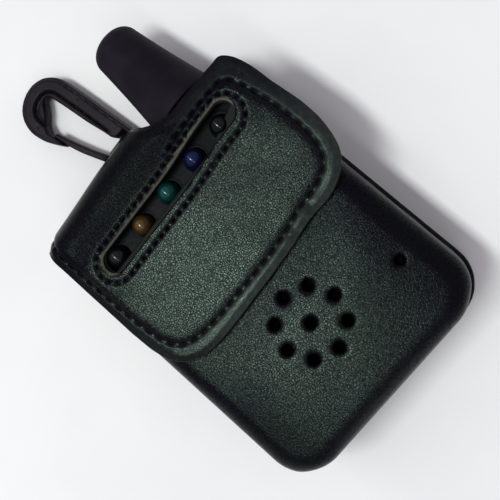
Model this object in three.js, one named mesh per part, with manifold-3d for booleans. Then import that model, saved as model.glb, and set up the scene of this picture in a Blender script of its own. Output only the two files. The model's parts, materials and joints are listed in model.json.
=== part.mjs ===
// A pocket radio in its fitted leather pouch, with a rubber stub antenna and a plastic snap hook.
//
// Frame, in millimetres: the radio lies on its back. +X is to the right as its front is seen, +Y runs
// towards the antenna and +Z comes out of the front. The origin is on the pouch's flat back face.
import * as THREE from "three";
import { mergeVertices } from "three/addons/utils/BufferGeometryUtils.js";
import Module from "manifold-3d";

const wasm = await Module();
wasm.setup();

// ---------------------------------------------------------------------------------------------
// Driving dimensions
// ---------------------------------------------------------------------------------------------
const GAP = 0.3; // between any two neighbouring pieces

// Leather pouch: a flat back panel and a moulded front with its side walls
const POUCH_HALF_WIDTH = 32;
const POUCH_BOTTOM = -44.5;
const POUCH_FACE = 24.5; // height of the front leather's outer face
const POUCH_ROLL = 5.5; // radius of the moulded edge round the front
const POUCH_CORNER = 11; // radius of the lower corners, seen from the front
const BACK_THICKNESS = 1.8;
const WALL = 1.6;

// Flap: two plies that fold over the top edge, with a slot over the row of lamps
const FLAP_LEFT = -30.2;
const FLAP_RIGHT = 36.7;
const FLAP_BOTTOM = -6.3;
const FLAP_BOTTOM_RISE = 2; // how much higher the lower edge is at the right than at the left
const FLAP_CORNER = 9.5;
const FLAP_LEAN = 2.6; // how much the right edge draws in towards the fold
const LINING_THICKNESS = 0.7;
const FLAP_PLY = 1.1;
const FLAP_FACE = POUCH_FACE + GAP + LINING_THICKNESS + GAP + FLAP_PLY;
const FOLD_Y = 36.5; // the line where the flap folds
const TOP_ROLL = 8.5; // outer radius of the strap where it turns down over the top
const STRAP_THICKNESS = 2.1;

// Openings in the leather
const LAMP_COUNT = 5;
const LAMP_PITCH = 10;
const LAMP_CENTRE_X = 0.9;
const LAMP_Y = 26;
const FLAP_SLOT = { x: 2, y: 25, length: 48, width: 6.8 };
const LINING_SLOT = { x: 2, y: 26, length: 48, width: 6 };
const POUCH_SLOT = { x: 2, y: 26, length: 50, width: 8 };
const SPEAKER_X = 0;
const SPEAKER_Y = -19.3;
const SPEAKER_RING = 8.4; // radius of the ring of sound holes
const SOUND_HOLE_RADIUS = 1.8;
const PIN_HOLE = { x: 23.6, y: -25.2, radius: 1.2 };

// Magnetic closure under the flap
const MAGNET = { x: 3, y: 4, radius: 4.4 };
const KEEPER_THICKNESS = 0.6;

// Antenna, along Y
const ANTENNA_X = 17.7;
const ANTENNA_Z = 13;
const ANTENNA_TIP_Y = 65.8;
const ANTENNA_BASE_RADIUS = 9.7;
const ANTENNA_TIP_RADIUS = 6.7;
const NOTCH = { x: 18.5, y: 49.2, radius: 13 }; // the flap's cut-out round the antenna

// Snap hook, lying beside the top edge
const HOOK_AXIS_Y = 48.6;
const HOOK_AXIS_Z = 3;
const HOOK_HALF_THICKNESS = 2.4;
const HOOK_EYE_LEFT = -6.2;
const HOOK_EYE_RIGHT = 1.8;
const HOOK_EYE_TOP = 51.9;
const HOOK_LEFT = -8.3;
const HOOK_RIGHT = 3.1;
const HOOK_BAR_RADIUS = 1.4;
const HOOK_FOOT = HOOK_AXIS_Y - 1.6; // lower end of the spine and of the gate's leg
const HOOK_LEG_TOP = 50.4;

// Radio housing, inside the pouch
const HOUSING = {
  left: -30,
  right: 30,
  bottom: -42.5,
  top: 41.6,
  bottomRadius: 9,
  topRadius: 3,
  antennaCornerRadius: 10,
};
// Beside the top edge the housing steps down to make room for the antenna
const SHOULDER = { left: ANTENNA_X - ANTENNA_BASE_RADIUS - GAP - 0.1, top: 37.8 };
const HOUSING_WALL = 1.5;
const HOUSING_REAR = BACK_THICKNESS + GAP;
const HOUSING_FRONT = 22.5;
const HOUSING_SPLIT = 12; // height of the joint between the two shells
const HOUSING_ROLL = 4.2;
const REAR_ROLL = 2.5;
const ROOF_INSIDE = HOUSING_FRONT - HOUSING_WALL;
const FLOOR_INSIDE = HOUSING_REAR + HOUSING_WALL;
const SCREW_POSTS = [
  [-25.5, 36.5],
  [24.4, 34.5],
  [-25.5, -14.5],
  [24.6, -36.5],
];
const POST_RADIUS = 2.2;

// Batteries, across the lower rear
const CELL_RADIUS = 5.2;
const CELL_LEFT = -23.5;
const CELL_RIGHT = 20.7;
const CELL_Z = 9.4;
const CELL_ROWS = [-34.4, -23.4];

// Circuit board and the two thumbwheel controls
const BOARD_BOTTOM = 13;
const BOARD_TOP = 14.2;
const BOARD_LOWER_EDGE = -11;
const WHEEL_X = 24.4;
const WHEEL_RADIUS = 7;
const WHEEL_BOTTOM = 4.4;
const WHEEL_TOP = 7.2;
const VOLUME_Y = 9;
const TUNING_Y = 25;
const WHEEL_WINDOW_HALF_LENGTH = 6.8;

const QUARTER = Math.PI / 2;

// ---------------------------------------------------------------------------------------------
// Solids and shapes
// ---------------------------------------------------------------------------------------------
function solid(geometry) {
  const bare = geometry.index ? geometry.toNonIndexed() : geometry.clone();
  bare.deleteAttribute("normal");
  bare.deleteAttribute("uv");
  const merged = mergeVertices(bare, 1e-4);
  const mesh = new wasm.Mesh({
    numProp: 3,
    vertProperties: merged.attributes.position.array,
    triVerts: new Uint32Array(merged.index.array),
  });
  return new wasm.Manifold(mesh);
}

function geometryOf(manifold) {
  const mesh = manifold.getMesh();
  const geometry = new THREE.BufferGeometry();
  geometry.setAttribute("position", new THREE.BufferAttribute(mesh.vertProperties, 3));
  geometry.setIndex(new THREE.BufferAttribute(mesh.triVerts, 1));
  const flat = geometry.toNonIndexed();
  flat.computeVertexNormals();
  return flat;
}

function box(x0, x1, y0, y1, z0, z1) {
  const block = new THREE.BoxGeometry(x1 - x0, y1 - y0, z1 - z0);
  return solid(block.translate((x0 + x1) / 2, (y0 + y1) / 2, (z0 + z1) / 2));
}

function discZ(radius, x, y, z0, z1, sides = 20) {
  const cylinder = new THREE.CylinderGeometry(radius, radius, z1 - z0, sides);
  return solid(cylinder.rotateX(QUARTER).translate(x, y, (z0 + z1) / 2));
}

function discY(radius, x, z, y0, y1, sides = 20) {
  const cylinder = new THREE.CylinderGeometry(radius, radius, y1 - y0, sides);
  return solid(cylinder.translate(x, (y0 + y1) / 2, z));
}

function discX(radius, y, z, x0, x1, sides = 20) {
  const cylinder = new THREE.CylinderGeometry(radius, radius, x1 - x0, sides);
  return solid(cylinder.rotateZ(QUARTER).translate((x0 + x1) / 2, y, z));
}

// A turned solid about Z. The profile is [radius, height] pairs that go once round the section.
function turnedZ(profile, x, y, sides = 24) {
  const points = profile.map(([radius, height]) => new THREE.Vector2(radius, height));
  return solid(new THREE.LatheGeometry(points, sides).rotateX(QUARTER).translate(x, y, 0));
}

function turnedY(profile, x, z, sides = 28) {
  const points = profile.map(([radius, height]) => new THREE.Vector2(radius, height));
  return solid(new THREE.LatheGeometry(points, sides).translate(x, 0, z));
}

function plate(shape, z0, z1, curveSegments = 8) {
  const options = { depth: z1 - z0, bevelEnabled: false, curveSegments };
  return solid(new THREE.ExtrudeGeometry(shape, options).translate(0, 0, z0));
}

// Extrudes a side view, drawn as (Y, Z), from x0 to x1.
function extrudeAlongX(shape, x0, x1, curveSegments = 8) {
  const options = { depth: x1 - x0, bevelEnabled: false, curveSegments };
  const turn = new THREE.Matrix4().set(0, 0, 1, x0, 1, 0, 0, 0, 0, 1, 0, 0, 0, 0, 0, 1);
  return solid(new THREE.ExtrudeGeometry(shape, options).applyMatrix4(turn));
}

function pill({ x, y, length, width }) {
  const shape = new THREE.Shape();
  const reach = (length - width) / 2;
  shape.absarc(x + reach, y, width / 2, -QUARTER, QUARTER);
  shape.absarc(x - reach, y, width / 2, QUARTER, 3 * QUARTER);
  shape.closePath();
  return shape;
}

// A rounded rectangle drawn anticlockwise, inset all round.
function insetOutline(edges, inset, cornerSteps = 5) {
  const topRightRadius = edges.antennaCornerRadius ?? edges.topRadius;
  const corners = [
    [edges.right - inset, edges.top - inset, topRightRadius, 0],
    [edges.left + inset, edges.top - inset, edges.topRadius, 1],
    [edges.left + inset, edges.bottom + inset, edges.bottomRadius, 2],
    [edges.right - inset, edges.bottom + inset, edges.bottomRadius, 3],
  ];
  const points = [];
  for (const [x, y, fullRadius, quarter] of corners) {
    const radius = Math.max(fullRadius - inset, GAP);
    const toRight = quarter === 0 || quarter === 3;
    const toTop = quarter < 2;
    const centreX = toRight ? x - radius : x + radius;
    const centreY = toTop ? y - radius : y + radius;
    for (let step = 0; step <= cornerSteps; step += 1) {
      const angle = (quarter + step / cornerSteps) * QUARTER;
      points.push([centreX + radius * Math.cos(angle), centreY + radius * Math.sin(angle)]);
    }
  }
  return points;
}

// Skins a stack of outlines, each { z, outline }, from the lowest to the highest.
function loft(levels) {
  const count = levels[0].outline.length;
  const positions = [];
  for (const { z, outline } of levels) {
    for (const [x, y] of outline) positions.push(x, y, z);
  }
  const faces = [];
  for (let level = 0; level + 1 < levels.length; level += 1) {
    for (let i = 0; i < count; i += 1) {
      const next = (i + 1) % count;
      const low = level * count;
      const high = low + count;
      faces.push(low + i, low + next, high + next, low + i, high + next, high + i);
    }
  }
  const last = (levels.length - 1) * count;
  for (let i = 1; i + 1 < count; i += 1) {
    faces.push(0, i + 1, i);
    faces.push(last, last + i, last + i + 1);
  }
  const geometry = new THREE.BufferGeometry();
  geometry.setAttribute("position", new THREE.Float32BufferAttribute(positions, 3));
  geometry.setIndex(faces);
  return solid(geometry);
}

// A slab with rounded edges: frontRoll at its top face and rearRoll at its bottom face.
function rolledSlab(edges, inset, z0, z1, frontRoll, rearRoll = 0, steps = 5) {
  const levels = [];
  if (rearRoll > 0) {
    for (let step = 0; step < steps; step += 1) {
      const angle = (step / steps) * QUARTER;
      const drawn = rearRoll * (1 - Math.sin(angle));
      levels.push({ z: z0 + rearRoll * (1 - Math.cos(angle)), outline: insetOutline(edges, inset + drawn) });
    }
  }
  levels.push({ z: z0 + rearRoll, outline: insetOutline(edges, inset) });
  if (frontRoll === 0) {
    levels.push({ z: z1, outline: insetOutline(edges, inset) });
    return loft(levels);
  }
  for (let step = 0; step <= steps; step += 1) {
    const angle = (step / steps) * QUARTER;
    const drawn = frontRoll * (1 - Math.cos(angle));
    const z = z1 - frontRoll * (1 - Math.sin(angle));
    levels.push({ z, outline: insetOutline(edges, inset + drawn) });
  }
  return loft(levels);
}

const group = new THREE.Group();

function addPart(name, manifold, material) {
  const mesh = new THREE.Mesh(geometryOf(manifold), material);
  mesh.name = name;
  group.add(mesh);
}

// ---------------------------------------------------------------------------------------------
// Materials
// ---------------------------------------------------------------------------------------------
function finish(colour, roughness, metalness = 0) {
  return new THREE.MeshStandardMaterial({ color: colour, roughness, metalness });
}

const leather = finish(0x1b1e1c, 0.5);
const liningLeather = finish(0x4b4d46, 0.75);
const hookPlastic = finish(0x2a2829, 0.4);
const rubber = finish(0x1d1b1d, 0.6);
const casePlastic = finish(0x24262a, 0.5);
const bezelPlastic = finish(0x3d4048, 0.35);
const steel = finish(0xb9bcc0, 0.3, 1);
const brass = finish(0xc9a552, 0.35, 1);
const board = finish(0x1f5a38, 0.6);
const chipPlastic = finish(0x17171a, 0.55);
const paper = finish(0x2b2b2b, 0.9);
const ferrite = finish(0x3a3a3c, 0.7);
const copper = finish(0xb56a3a, 0.35, 1);
const magnetMetal = finish(0x8d9094, 0.35, 1);
const cellJacket = finish(0x6f7f8d, 0.4, 0.3);
const lampColours = [0xb9bcc0, 0xb5701f, 0x108a80, 0x1d2b86, 0x2c2f36];
const lampNames = ["clear", "amber", "green", "blue", "smoked"];

// ---------------------------------------------------------------------------------------------
// Leather pouch
// ---------------------------------------------------------------------------------------------
const POUCH_REAR = BACK_THICKNESS + GAP;
const TOP_ROLL_Y = FOLD_Y - 0.5; // centre of the roll over the top edge
const TOP_ROLL_Z = FLAP_FACE - TOP_ROLL;
const STRAP_OUTER_Y = TOP_ROLL_Y + TOP_ROLL;
const STRAP_INNER_Y = STRAP_OUTER_Y - STRAP_THICKNESS;

const beyondTop = 20;
const pouchEdges = {
  left: -POUCH_HALF_WIDTH,
  right: POUCH_HALF_WIDTH,
  bottom: POUCH_BOTTOM,
  top: STRAP_OUTER_Y + beyondTop,
  bottomRadius: POUCH_CORNER,
  topRadius: POUCH_CORNER,
};

// Everything past the pouch's mouth, which follows the inside of the strap.
function pouchMouthCut() {
  const radius = TOP_ROLL - STRAP_THICKNESS - GAP;
  const shape = new THREE.Shape();
  const far = STRAP_OUTER_Y + 2 * beyondTop;
  const high = POUCH_FACE + beyondTop;
  shape.moveTo(far, -beyondTop);
  shape.lineTo(far, high);
  shape.lineTo(TOP_ROLL_Y, high);
  shape.absarc(TOP_ROLL_Y, TOP_ROLL_Z, radius, QUARTER, 0, true);
  shape.lineTo(TOP_ROLL_Y + radius, -beyondTop);
  shape.closePath();
  return extrudeAlongX(shape, -2 * POUCH_HALF_WIDTH, 2 * POUCH_HALF_WIDTH);
}

// Round the antenna the mouth is cut back further, on a slope, so that it stays under the flap's corner.
function antennaSideCut() {
  const start = { y: 42.2, z: 4.6 };
  const end = { y: 36.8, z: 22 };
  const shape = new THREE.Shape();
  const far = STRAP_OUTER_Y + beyondTop;
  shape.moveTo(start.y, start.z);
  shape.lineTo(far, start.z);
  shape.lineTo(far, POUCH_FACE + beyondTop);
  shape.lineTo(end.y, POUCH_FACE + beyondTop);
  shape.lineTo(end.y, end.z);
  shape.closePath();
  return extrudeAlongX(shape, SHOULDER.left, POUCH_HALF_WIDTH + beyondTop);
}

function wheelWindow(y, x0, x1) {
  const shape = new THREE.Shape();
  const middle = (WHEEL_BOTTOM + WHEEL_TOP) / 2;
  const half = (WHEEL_TOP - WHEEL_BOTTOM) / 2 + 2 * GAP;
  const reach = WHEEL_WINDOW_HALF_LENGTH - half;
  shape.absarc(y + reach, middle, half, -QUARTER, QUARTER);
  shape.absarc(y - reach, middle, half, QUARTER, 3 * QUARTER);
  shape.closePath();
  return extrudeAlongX(shape, x0, x1, 5);
}

function soundHoles(radius, z0, z1) {
  const holes = [discZ(radius, SPEAKER_X, SPEAKER_Y, z0, z1, 16)];
  for (let i = 0; i < 8; i += 1) {
    const angle = (i * Math.PI) / 4;
    const x = SPEAKER_X + SPEAKER_RING * Math.cos(angle);
    const y = SPEAKER_Y + SPEAKER_RING * Math.sin(angle);
    holes.push(discZ(radius, x, y, z0, z1, 16));
  }
  return holes;
}

function pouchShell() {
  const inside = POUCH_FACE - WALL;
  let shell = rolledSlab(pouchEdges, 0, POUCH_REAR, POUCH_FACE, POUCH_ROLL);
  shell = shell.subtract(rolledSlab(pouchEdges, WALL, -WALL, inside, POUCH_ROLL - WALL));
  shell = shell.subtract(pouchMouthCut()).subtract(antennaSideCut());
  shell = shell.subtract(plate(pill(POUCH_SLOT), inside - 1, POUCH_FACE + 1));
  for (const hole of soundHoles(SOUND_HOLE_RADIUS, inside - 1, POUCH_FACE + 1)) {
    shell = shell.subtract(hole);
  }
  const pinHole = discZ(PIN_HOLE.radius, PIN_HOLE.x, PIN_HOLE.y, inside - 1, POUCH_FACE + 1, 14);
  shell = shell.subtract(pinHole);
  for (const y of [VOLUME_Y, TUNING_Y]) {
    shell = shell.subtract(wheelWindow(y, POUCH_HALF_WIDTH - 2 * WALL, POUCH_HALF_WIDTH + WALL));
  }
  const pocketFloor = POUCH_FACE - KEEPER_THICKNESS - GAP;
  return shell.subtract(discZ(MAGNET.radius + GAP, MAGNET.x, MAGNET.y, pocketFloor, POUCH_FACE + 1, 24));
}
addPart("pouch_shell", pouchShell(), leather);

// The back panel stands a little proud of the walls.
function backPanel() {
  const edge = POUCH_HALF_WIDTH + 0.5;
  const bottom = POUCH_BOTTOM - 0.4;
  const leftCorner = 9;
  const rightCorner = 10.5;
  const topCut = 3;
  const shape = new THREE.Shape();
  shape.moveTo(-edge, STRAP_OUTER_Y);
  shape.lineTo(-edge, bottom + leftCorner);
  shape.absarc(-edge + leftCorner, bottom + leftCorner, leftCorner, Math.PI, 3 * QUARTER);
  shape.absarc(edge - rightCorner, bottom + rightCorner, rightCorner, -QUARTER, 0);
  shape.lineTo(edge, STRAP_OUTER_Y - topCut);
  shape.lineTo(edge - topCut, STRAP_OUTER_Y);
  shape.closePath();
  return plate(shape, 0, BACK_THICKNESS);
}
addPart("back_panel", backPanel(), leather);

// The strap carries the flap over the top edge, to the left of the antenna.
function flapStrap() {
  const inner = TOP_ROLL - STRAP_THICKNESS;
  const start = GAP + 0.5; // from the roll's centre to the strap's end at the fold
  const shape = new THREE.Shape();
  shape.absarc(TOP_ROLL_Y, TOP_ROLL_Z, TOP_ROLL, Math.acos(start / TOP_ROLL), 0, true);
  shape.lineTo(STRAP_OUTER_Y, POUCH_REAR);
  shape.lineTo(STRAP_INNER_Y, POUCH_REAR);
  shape.absarc(TOP_ROLL_Y, TOP_ROLL_Z, inner, 0, Math.acos(start / inner), false);
  shape.closePath();
  const notch = discZ(NOTCH.radius, NOTCH.x, NOTCH.y, 0, FLAP_FACE + 1, 48);
  const tabSlot = box(HOOK_EYE_LEFT, HOOK_EYE_RIGHT, FOLD_Y, STRAP_OUTER_Y + 1, 0, 4.8);
  return extrudeAlongX(shape, FLAP_LEFT, NOTCH.x - 2, 9).subtract(notch).subtract(tabSlot);
}
addPart("flap_strap", flapStrap(), leather);

const steelKeeper = discZ(
  MAGNET.radius, MAGNET.x, MAGNET.y, POUCH_FACE - KEEPER_THICKNESS, POUCH_FACE, 24,
);
addPart("closure_keeper", steelKeeper, steel);

// ---------------------------------------------------------------------------------------------
// Flap
// ---------------------------------------------------------------------------------------------
function flapOutline(inset) {
  const left = FLAP_LEFT + inset;
  const right = FLAP_RIGHT - inset;
  const bottomLeft = FLAP_BOTTOM + inset;
  const bottomRight = bottomLeft + FLAP_BOTTOM_RISE;
  const top = FOLD_Y - GAP / 2;
  const widest = FLAP_BOTTOM + 2.4 * FLAP_CORNER;
  const shape = new THREE.Shape();
  shape.moveTo(left, top);
  shape.lineTo(left, bottomLeft + FLAP_CORNER);
  shape.quadraticCurveTo(left, bottomLeft, left + FLAP_CORNER, bottomLeft);
  shape.lineTo(right - FLAP_CORNER, bottomRight);
  shape.quadraticCurveTo(right, bottomRight, right, bottomRight + FLAP_CORNER);
  shape.lineTo(right, widest);
  shape.lineTo(right - FLAP_LEAN, top - 2);
  shape.lineTo(right - FLAP_LEAN - 1.5, top);
  shape.closePath();
  return shape;
}

function flapLeather() {
  const cut = plate(pill(FLAP_SLOT), POUCH_FACE, FLAP_FACE + 1);
  return plate(flapOutline(0), FLAP_FACE - FLAP_PLY, FLAP_FACE).subtract(cut);
}
addPart("flap_leather", flapLeather(), leather);

const LINING_BOTTOM = POUCH_FACE + GAP;
const LINING_TOP = LINING_BOTTOM + LINING_THICKNESS;

function flapLining() {
  const cut = plate(pill(LINING_SLOT), POUCH_FACE, FLAP_FACE);
  const magnetHole = discZ(MAGNET.radius + GAP, MAGNET.x, MAGNET.y, POUCH_FACE, FLAP_FACE, 24);
  return plate(flapOutline(0.5), LINING_BOTTOM, LINING_TOP).subtract(cut).subtract(magnetHole);
}
addPart("flap_lining", flapLining(), liningLeather);

const magnetDisc = discZ(MAGNET.radius, MAGNET.x, MAGNET.y, LINING_BOTTOM, LINING_TOP, 24);
addPart("closure_magnet", magnetDisc, magnetMetal);

// ---------------------------------------------------------------------------------------------
// Snap hook and its leather tab
// ---------------------------------------------------------------------------------------------
function hookTab() {
  const left = HOOK_EYE_LEFT + GAP;
  const right = HOOK_EYE_RIGHT - GAP;
  const bore = HOOK_BAR_RADIUS + GAP;
  const outer = bore + 1.1;
  const ring = discX(outer, HOOK_AXIS_Y, HOOK_AXIS_Z, left, right, 24);
  const tail = box(left, right, STRAP_INNER_Y + GAP, HOOK_AXIS_Y - bore, POUCH_REAR + 0.1, 4.4);
  const barHole = discX(bore, HOOK_AXIS_Y, HOOK_AXIS_Z, left - 1, right + 1, 24);
  return ring.add(tail).subtract(barHole);
}
addPart("hook_tab", hookTab(), leather);

// The hook's side view from the front: spine on the right, bend at the top, nose on the left. A web at
// the foot of the spine runs down to the eye.
function hookOutline() {
  const shape = new THREE.Shape();
  shape.moveTo(HOOK_RIGHT, HOOK_FOOT);
  shape.lineTo(HOOK_RIGHT - 0.2, 51.5);
  shape.lineTo(1.1, 71.5);
  shape.bezierCurveTo(0.5, 77, -3, 80.2, -7.6, 80.2);
  shape.bezierCurveTo(-12.6, 80.2, -15.6, 76.6, -15.6, 72);
  shape.bezierCurveTo(-15.6, 69.5, -14.2, 66.4, -12.9, 63.5);
  shape.lineTo(-12.4, 62.7);
  shape.lineTo(-12.1, 63.2);
  shape.bezierCurveTo(-12.3, 64.6, -12.6, 66, -12.7, 68.4);
  shape.bezierCurveTo(-11.6, 70.6, -9.4, 72, -7.4, 74.6);
  shape.bezierCurveTo(-6.6, 75.6, -5, 75.4, -4.6, 73.4);
  shape.bezierCurveTo(-4, 70, -3.6, 64, -2.6, 57.3);
  shape.lineTo(-2, 53.6);
  shape.quadraticCurveTo(-1.6, HOOK_EYE_TOP, 0, HOOK_EYE_TOP);
  shape.lineTo(HOOK_EYE_RIGHT, HOOK_EYE_TOP);
  shape.lineTo(HOOK_EYE_RIGHT, HOOK_FOOT);
  shape.closePath();
  return shape;
}

function hookBody() {
  const z0 = HOOK_AXIS_Z - HOOK_HALF_THICKNESS;
  const z1 = HOOK_AXIS_Z + HOOK_HALF_THICKNESS;
  const leg = box(HOOK_LEFT, HOOK_EYE_LEFT, HOOK_FOOT, HOOK_LEG_TOP, z0, z1);
  const bar = discX(HOOK_BAR_RADIUS, HOOK_AXIS_Y, HOOK_AXIS_Z, HOOK_LEFT, HOOK_RIGHT, 16);
  return plate(hookOutline(), z0, z1, 6).add(leg).add(bar);
}
addPart("hook_body", hookBody(), hookPlastic);

// The gate is a thin springy leaf that closes the hook and rests against the inside of the nose.
function hookGate() {
  const root = HOOK_LEG_TOP + GAP;
  const tip = 66.4;
  const shape = new THREE.Shape();
  shape.moveTo(-8.2, root);
  shape.bezierCurveTo(-10.2, 55.2, -11.8, 60.6, -12.3, tip);
  shape.lineTo(-11.3, tip);
  shape.bezierCurveTo(-10.3, 60.8, -8.4, 55.8, -6.5, root + GAP);
  shape.lineTo(-7.2, root);
  shape.closePath();
  return plate(shape, HOOK_AXIS_Z - 1.8, HOOK_AXIS_Z + 1.8, 6);
}
addPart("hook_gate", hookGate(), hookPlastic);

// ---------------------------------------------------------------------------------------------
// Radio housing
// ---------------------------------------------------------------------------------------------
const PANEL_SLOT = { x: POUCH_SLOT.x, y: LAMP_Y, length: 52, width: 8.8 };
const LAMP_SLOT = { x: LAMP_CENTRE_X, y: LAMP_Y, length: 47, width: 6.6 };
const ANTENNA_BUSH_RADIUS = 3.2;

function antennaPort() {
  return discY(ANTENNA_BUSH_RADIUS + GAP, ANTENNA_X, ANTENNA_Z, 34, 40);
}

// The corner of the housing that is left out for the antenna, grown on its inner sides.
function shoulderRoom(grow) {
  return box(SHOULDER.left - grow, HOUSING.right + 1, SHOULDER.top - grow, HOUSING.top + 1, 0, POUCH_FACE);
}

function housingWheelWindows() {
  const x0 = HOUSING.right - 2 * HOUSING_WALL;
  return [VOLUME_Y, TUNING_Y].map((y) => wheelWindow(y, x0, HOUSING.right + 1));
}

function frontHousing() {
  const low = HOUSING_SPLIT + GAP;
  const roofRoll = HOUSING_ROLL - HOUSING_WALL;
  const inside = rolledSlab(HOUSING, HOUSING_WALL, low - 1, ROOF_INSIDE, roofRoll);
  let shell = rolledSlab(HOUSING, 0, low, HOUSING_FRONT, HOUSING_ROLL).subtract(shoulderRoom(0));
  shell = shell.subtract(inside.subtract(shoulderRoom(HOUSING_WALL)));
  for (const [x, y] of SCREW_POSTS) {
    shell = shell.add(discZ(POST_RADIUS, x, y, FLOOR_INSIDE + GAP, ROOF_INSIDE + 0.5, 14));
    shell = shell.subtract(discZ(1.1, x, y, 0, BOARD_TOP, 12));
  }
  for (const hole of soundHoles(1.2, ROOF_INSIDE - 1, HOUSING_FRONT + 1)) shell = shell.subtract(hole);
  shell = shell.subtract(discZ(1.2, PIN_HOLE.x, PIN_HOLE.y, ROOF_INSIDE - 1, HOUSING_FRONT + 1, 14));
  shell = shell.subtract(plate(pill(PANEL_SLOT), HOUSING_FRONT - 0.7, HOUSING_FRONT + 1));
  shell = shell.subtract(plate(pill(LAMP_SLOT), ROOF_INSIDE - 1, HOUSING_FRONT + 1));
  return shell.subtract(antennaPort());
}
addPart("front_housing", frontHousing(), casePlastic);

const DOOR = { left: -25, right: 21.6, bottom: -40, top: -17.6 };

function rearHousing() {
  const insideRoll = REAR_ROLL - HOUSING_WALL;
  const inside = rolledSlab(HOUSING, HOUSING_WALL, FLOOR_INSIDE, HOUSING_SPLIT + 1, 0, insideRoll);
  let shell = rolledSlab(HOUSING, 0, HOUSING_REAR, HOUSING_SPLIT, 0, REAR_ROLL).subtract(shoulderRoom(0));
  shell = shell.subtract(inside.subtract(shoulderRoom(HOUSING_WALL)));
  for (const [x, y] of SCREW_POSTS) {
    shell = shell.subtract(discZ(POST_RADIUS + GAP, x, y, FLOOR_INSIDE, HOUSING_SPLIT + 1, 14));
    shell = shell.subtract(discZ(1.1, x, y, 0, FLOOR_INSIDE + 1, 12));
    shell = shell.subtract(discZ(2.2, x, y, 0, HOUSING_REAR + 1, 14));
  }
  for (const window of housingWheelWindows()) shell = shell.subtract(window);
  const doorway = box(DOOR.left, DOOR.right, DOOR.bottom, DOOR.top, 0, FLOOR_INSIDE + 1);
  return shell.subtract(doorway).subtract(antennaPort());
}
addPart("rear_housing", rearHousing(), casePlastic);

const doorPlate = box(
  DOOR.left + GAP, DOOR.right - GAP, DOOR.bottom + GAP, DOOR.top - GAP, HOUSING_REAR, FLOOR_INSIDE,
);
addPart("battery_door", doorPlate, casePlastic);

SCREW_POSTS.forEach(([x, y], index) => {
  const head = HOUSING_REAR + 0.1;
  const profile = [[0, head], [1.9, head], [1.9, head + 0.6], [0.8, head + 0.6], [0.8, 11], [0, 11]];
  addPart(`housing_screw_${index + 1}`, turnedZ(profile, x, y, 14), steel);
});

// ---------------------------------------------------------------------------------------------
// Lamp row
// ---------------------------------------------------------------------------------------------
const LAMP_RADIUS = 2.5;
const LAMP_TOP = 26.6;
const lampXs = Array.from(
  { length: LAMP_COUNT },
  (_, i) => LAMP_CENTRE_X + (i - (LAMP_COUNT - 1) / 2) * LAMP_PITCH,
);

function lampPanel() {
  const outline = { ...PANEL_SLOT, length: PANEL_SLOT.length - 2 * GAP, width: PANEL_SLOT.width - 2 * GAP };
  let panel = plate(pill(outline), HOUSING_FRONT - 0.4, HOUSING_FRONT + 0.2);
  for (const x of lampXs) {
    panel = panel.subtract(discZ(LAMP_RADIUS + GAP, x, LAMP_Y, ROOF_INSIDE, POUCH_FACE, 20));
  }
  return panel;
}
addPart("lamp_panel", lampPanel(), bezelPlastic);

// One lamp: a domed lens with a flange, on two leads that stand in the circuit board.
function lamp(x) {
  const flange = 16.8;
  const shoulder = LAMP_TOP - LAMP_RADIUS;
  const profile = [[0, flange], [2.9, flange], [2.9, flange + 0.8], [LAMP_RADIUS, flange + 0.8]];
  for (let step = 0; step <= 6; step += 1) {
    const angle = (step / 6) * QUARTER;
    const radius = step === 6 ? 0 : LAMP_RADIUS * Math.cos(angle);
    profile.push([radius, shoulder + LAMP_RADIUS * Math.sin(angle)]);
  }
  let body = turnedZ(profile, x, LAMP_Y, 20);
  for (const side of [-1.27, 1.27]) {
    const lead = box(x + side - 0.25, x + side + 0.25, LAMP_Y - 0.25, LAMP_Y + 0.25, 13.1, flange + 0.5);
    body = body.add(lead);
  }
  return body;
}
lampXs.forEach((x, index) => {
  addPart(`lamp_${lampNames[index]}`, lamp(x), finish(lampColours[index], 0.12));
});

// ---------------------------------------------------------------------------------------------
// Circuit board and what stands on it
// ---------------------------------------------------------------------------------------------
const BOARD_TONGUE = { left: 21.9, right: 28.1, bottom: -30 }; // reaches down to the scan switch

function mainBoard() {
  let body = box(-28.1, 28.1, BOARD_LOWER_EDGE, 39, BOARD_BOTTOM, BOARD_TOP);
  const tongue = box(
    BOARD_TONGUE.left, BOARD_TONGUE.right, BOARD_TONGUE.bottom, 0, BOARD_BOTTOM, BOARD_TOP,
  );
  body = body.add(tongue);
  for (const [x, y] of SCREW_POSTS) {
    body = body.subtract(discZ(POST_RADIUS + GAP, x, y, BOARD_BOTTOM - 1, BOARD_TOP + 1, 14));
  }
  for (const x of lampXs) {
    body = body.subtract(box(x - 1.9, x + 1.9, LAMP_Y - 0.6, LAMP_Y + 0.6, BOARD_BOTTOM - 1, BOARD_TOP + 1));
  }
  const bushRoom = box(ANTENNA_X - 5.2, HOUSING.right, 32.4, 42, BOARD_BOTTOM - 1, BOARD_TOP + 1);
  return body.subtract(bushRoom).subtract(shoulderRoom(HOUSING_WALL + GAP));
}
addPart("main_board", mainBoard(), board);

const ON_BOARD = BOARD_TOP + GAP;
addPart("radio_chip", box(-13, -3, 3, 13, ON_BOARD, ON_BOARD + 1.8), chipPlastic);
addPart("audio_transformer", box(-25, -16, -2, 7, ON_BOARD, ON_BOARD + 5.5), ferrite);
addPart("filter_capacitor", discZ(3, 6, 4, ON_BOARD, ON_BOARD + 6, 18), cellJacket);
addPart("crystal", box(-2, 9, 14, 18.5, ON_BOARD, ON_BOARD + 3.5), steel);

// Ferrite rod aerial, under the board
const ROD = { left: -22, right: 13, y: 31, z: 8.4, radius: 3.6 };
addPart("ferrite_rod", discX(ROD.radius, ROD.y, ROD.z, ROD.left, ROD.right, 20), ferrite);

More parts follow.
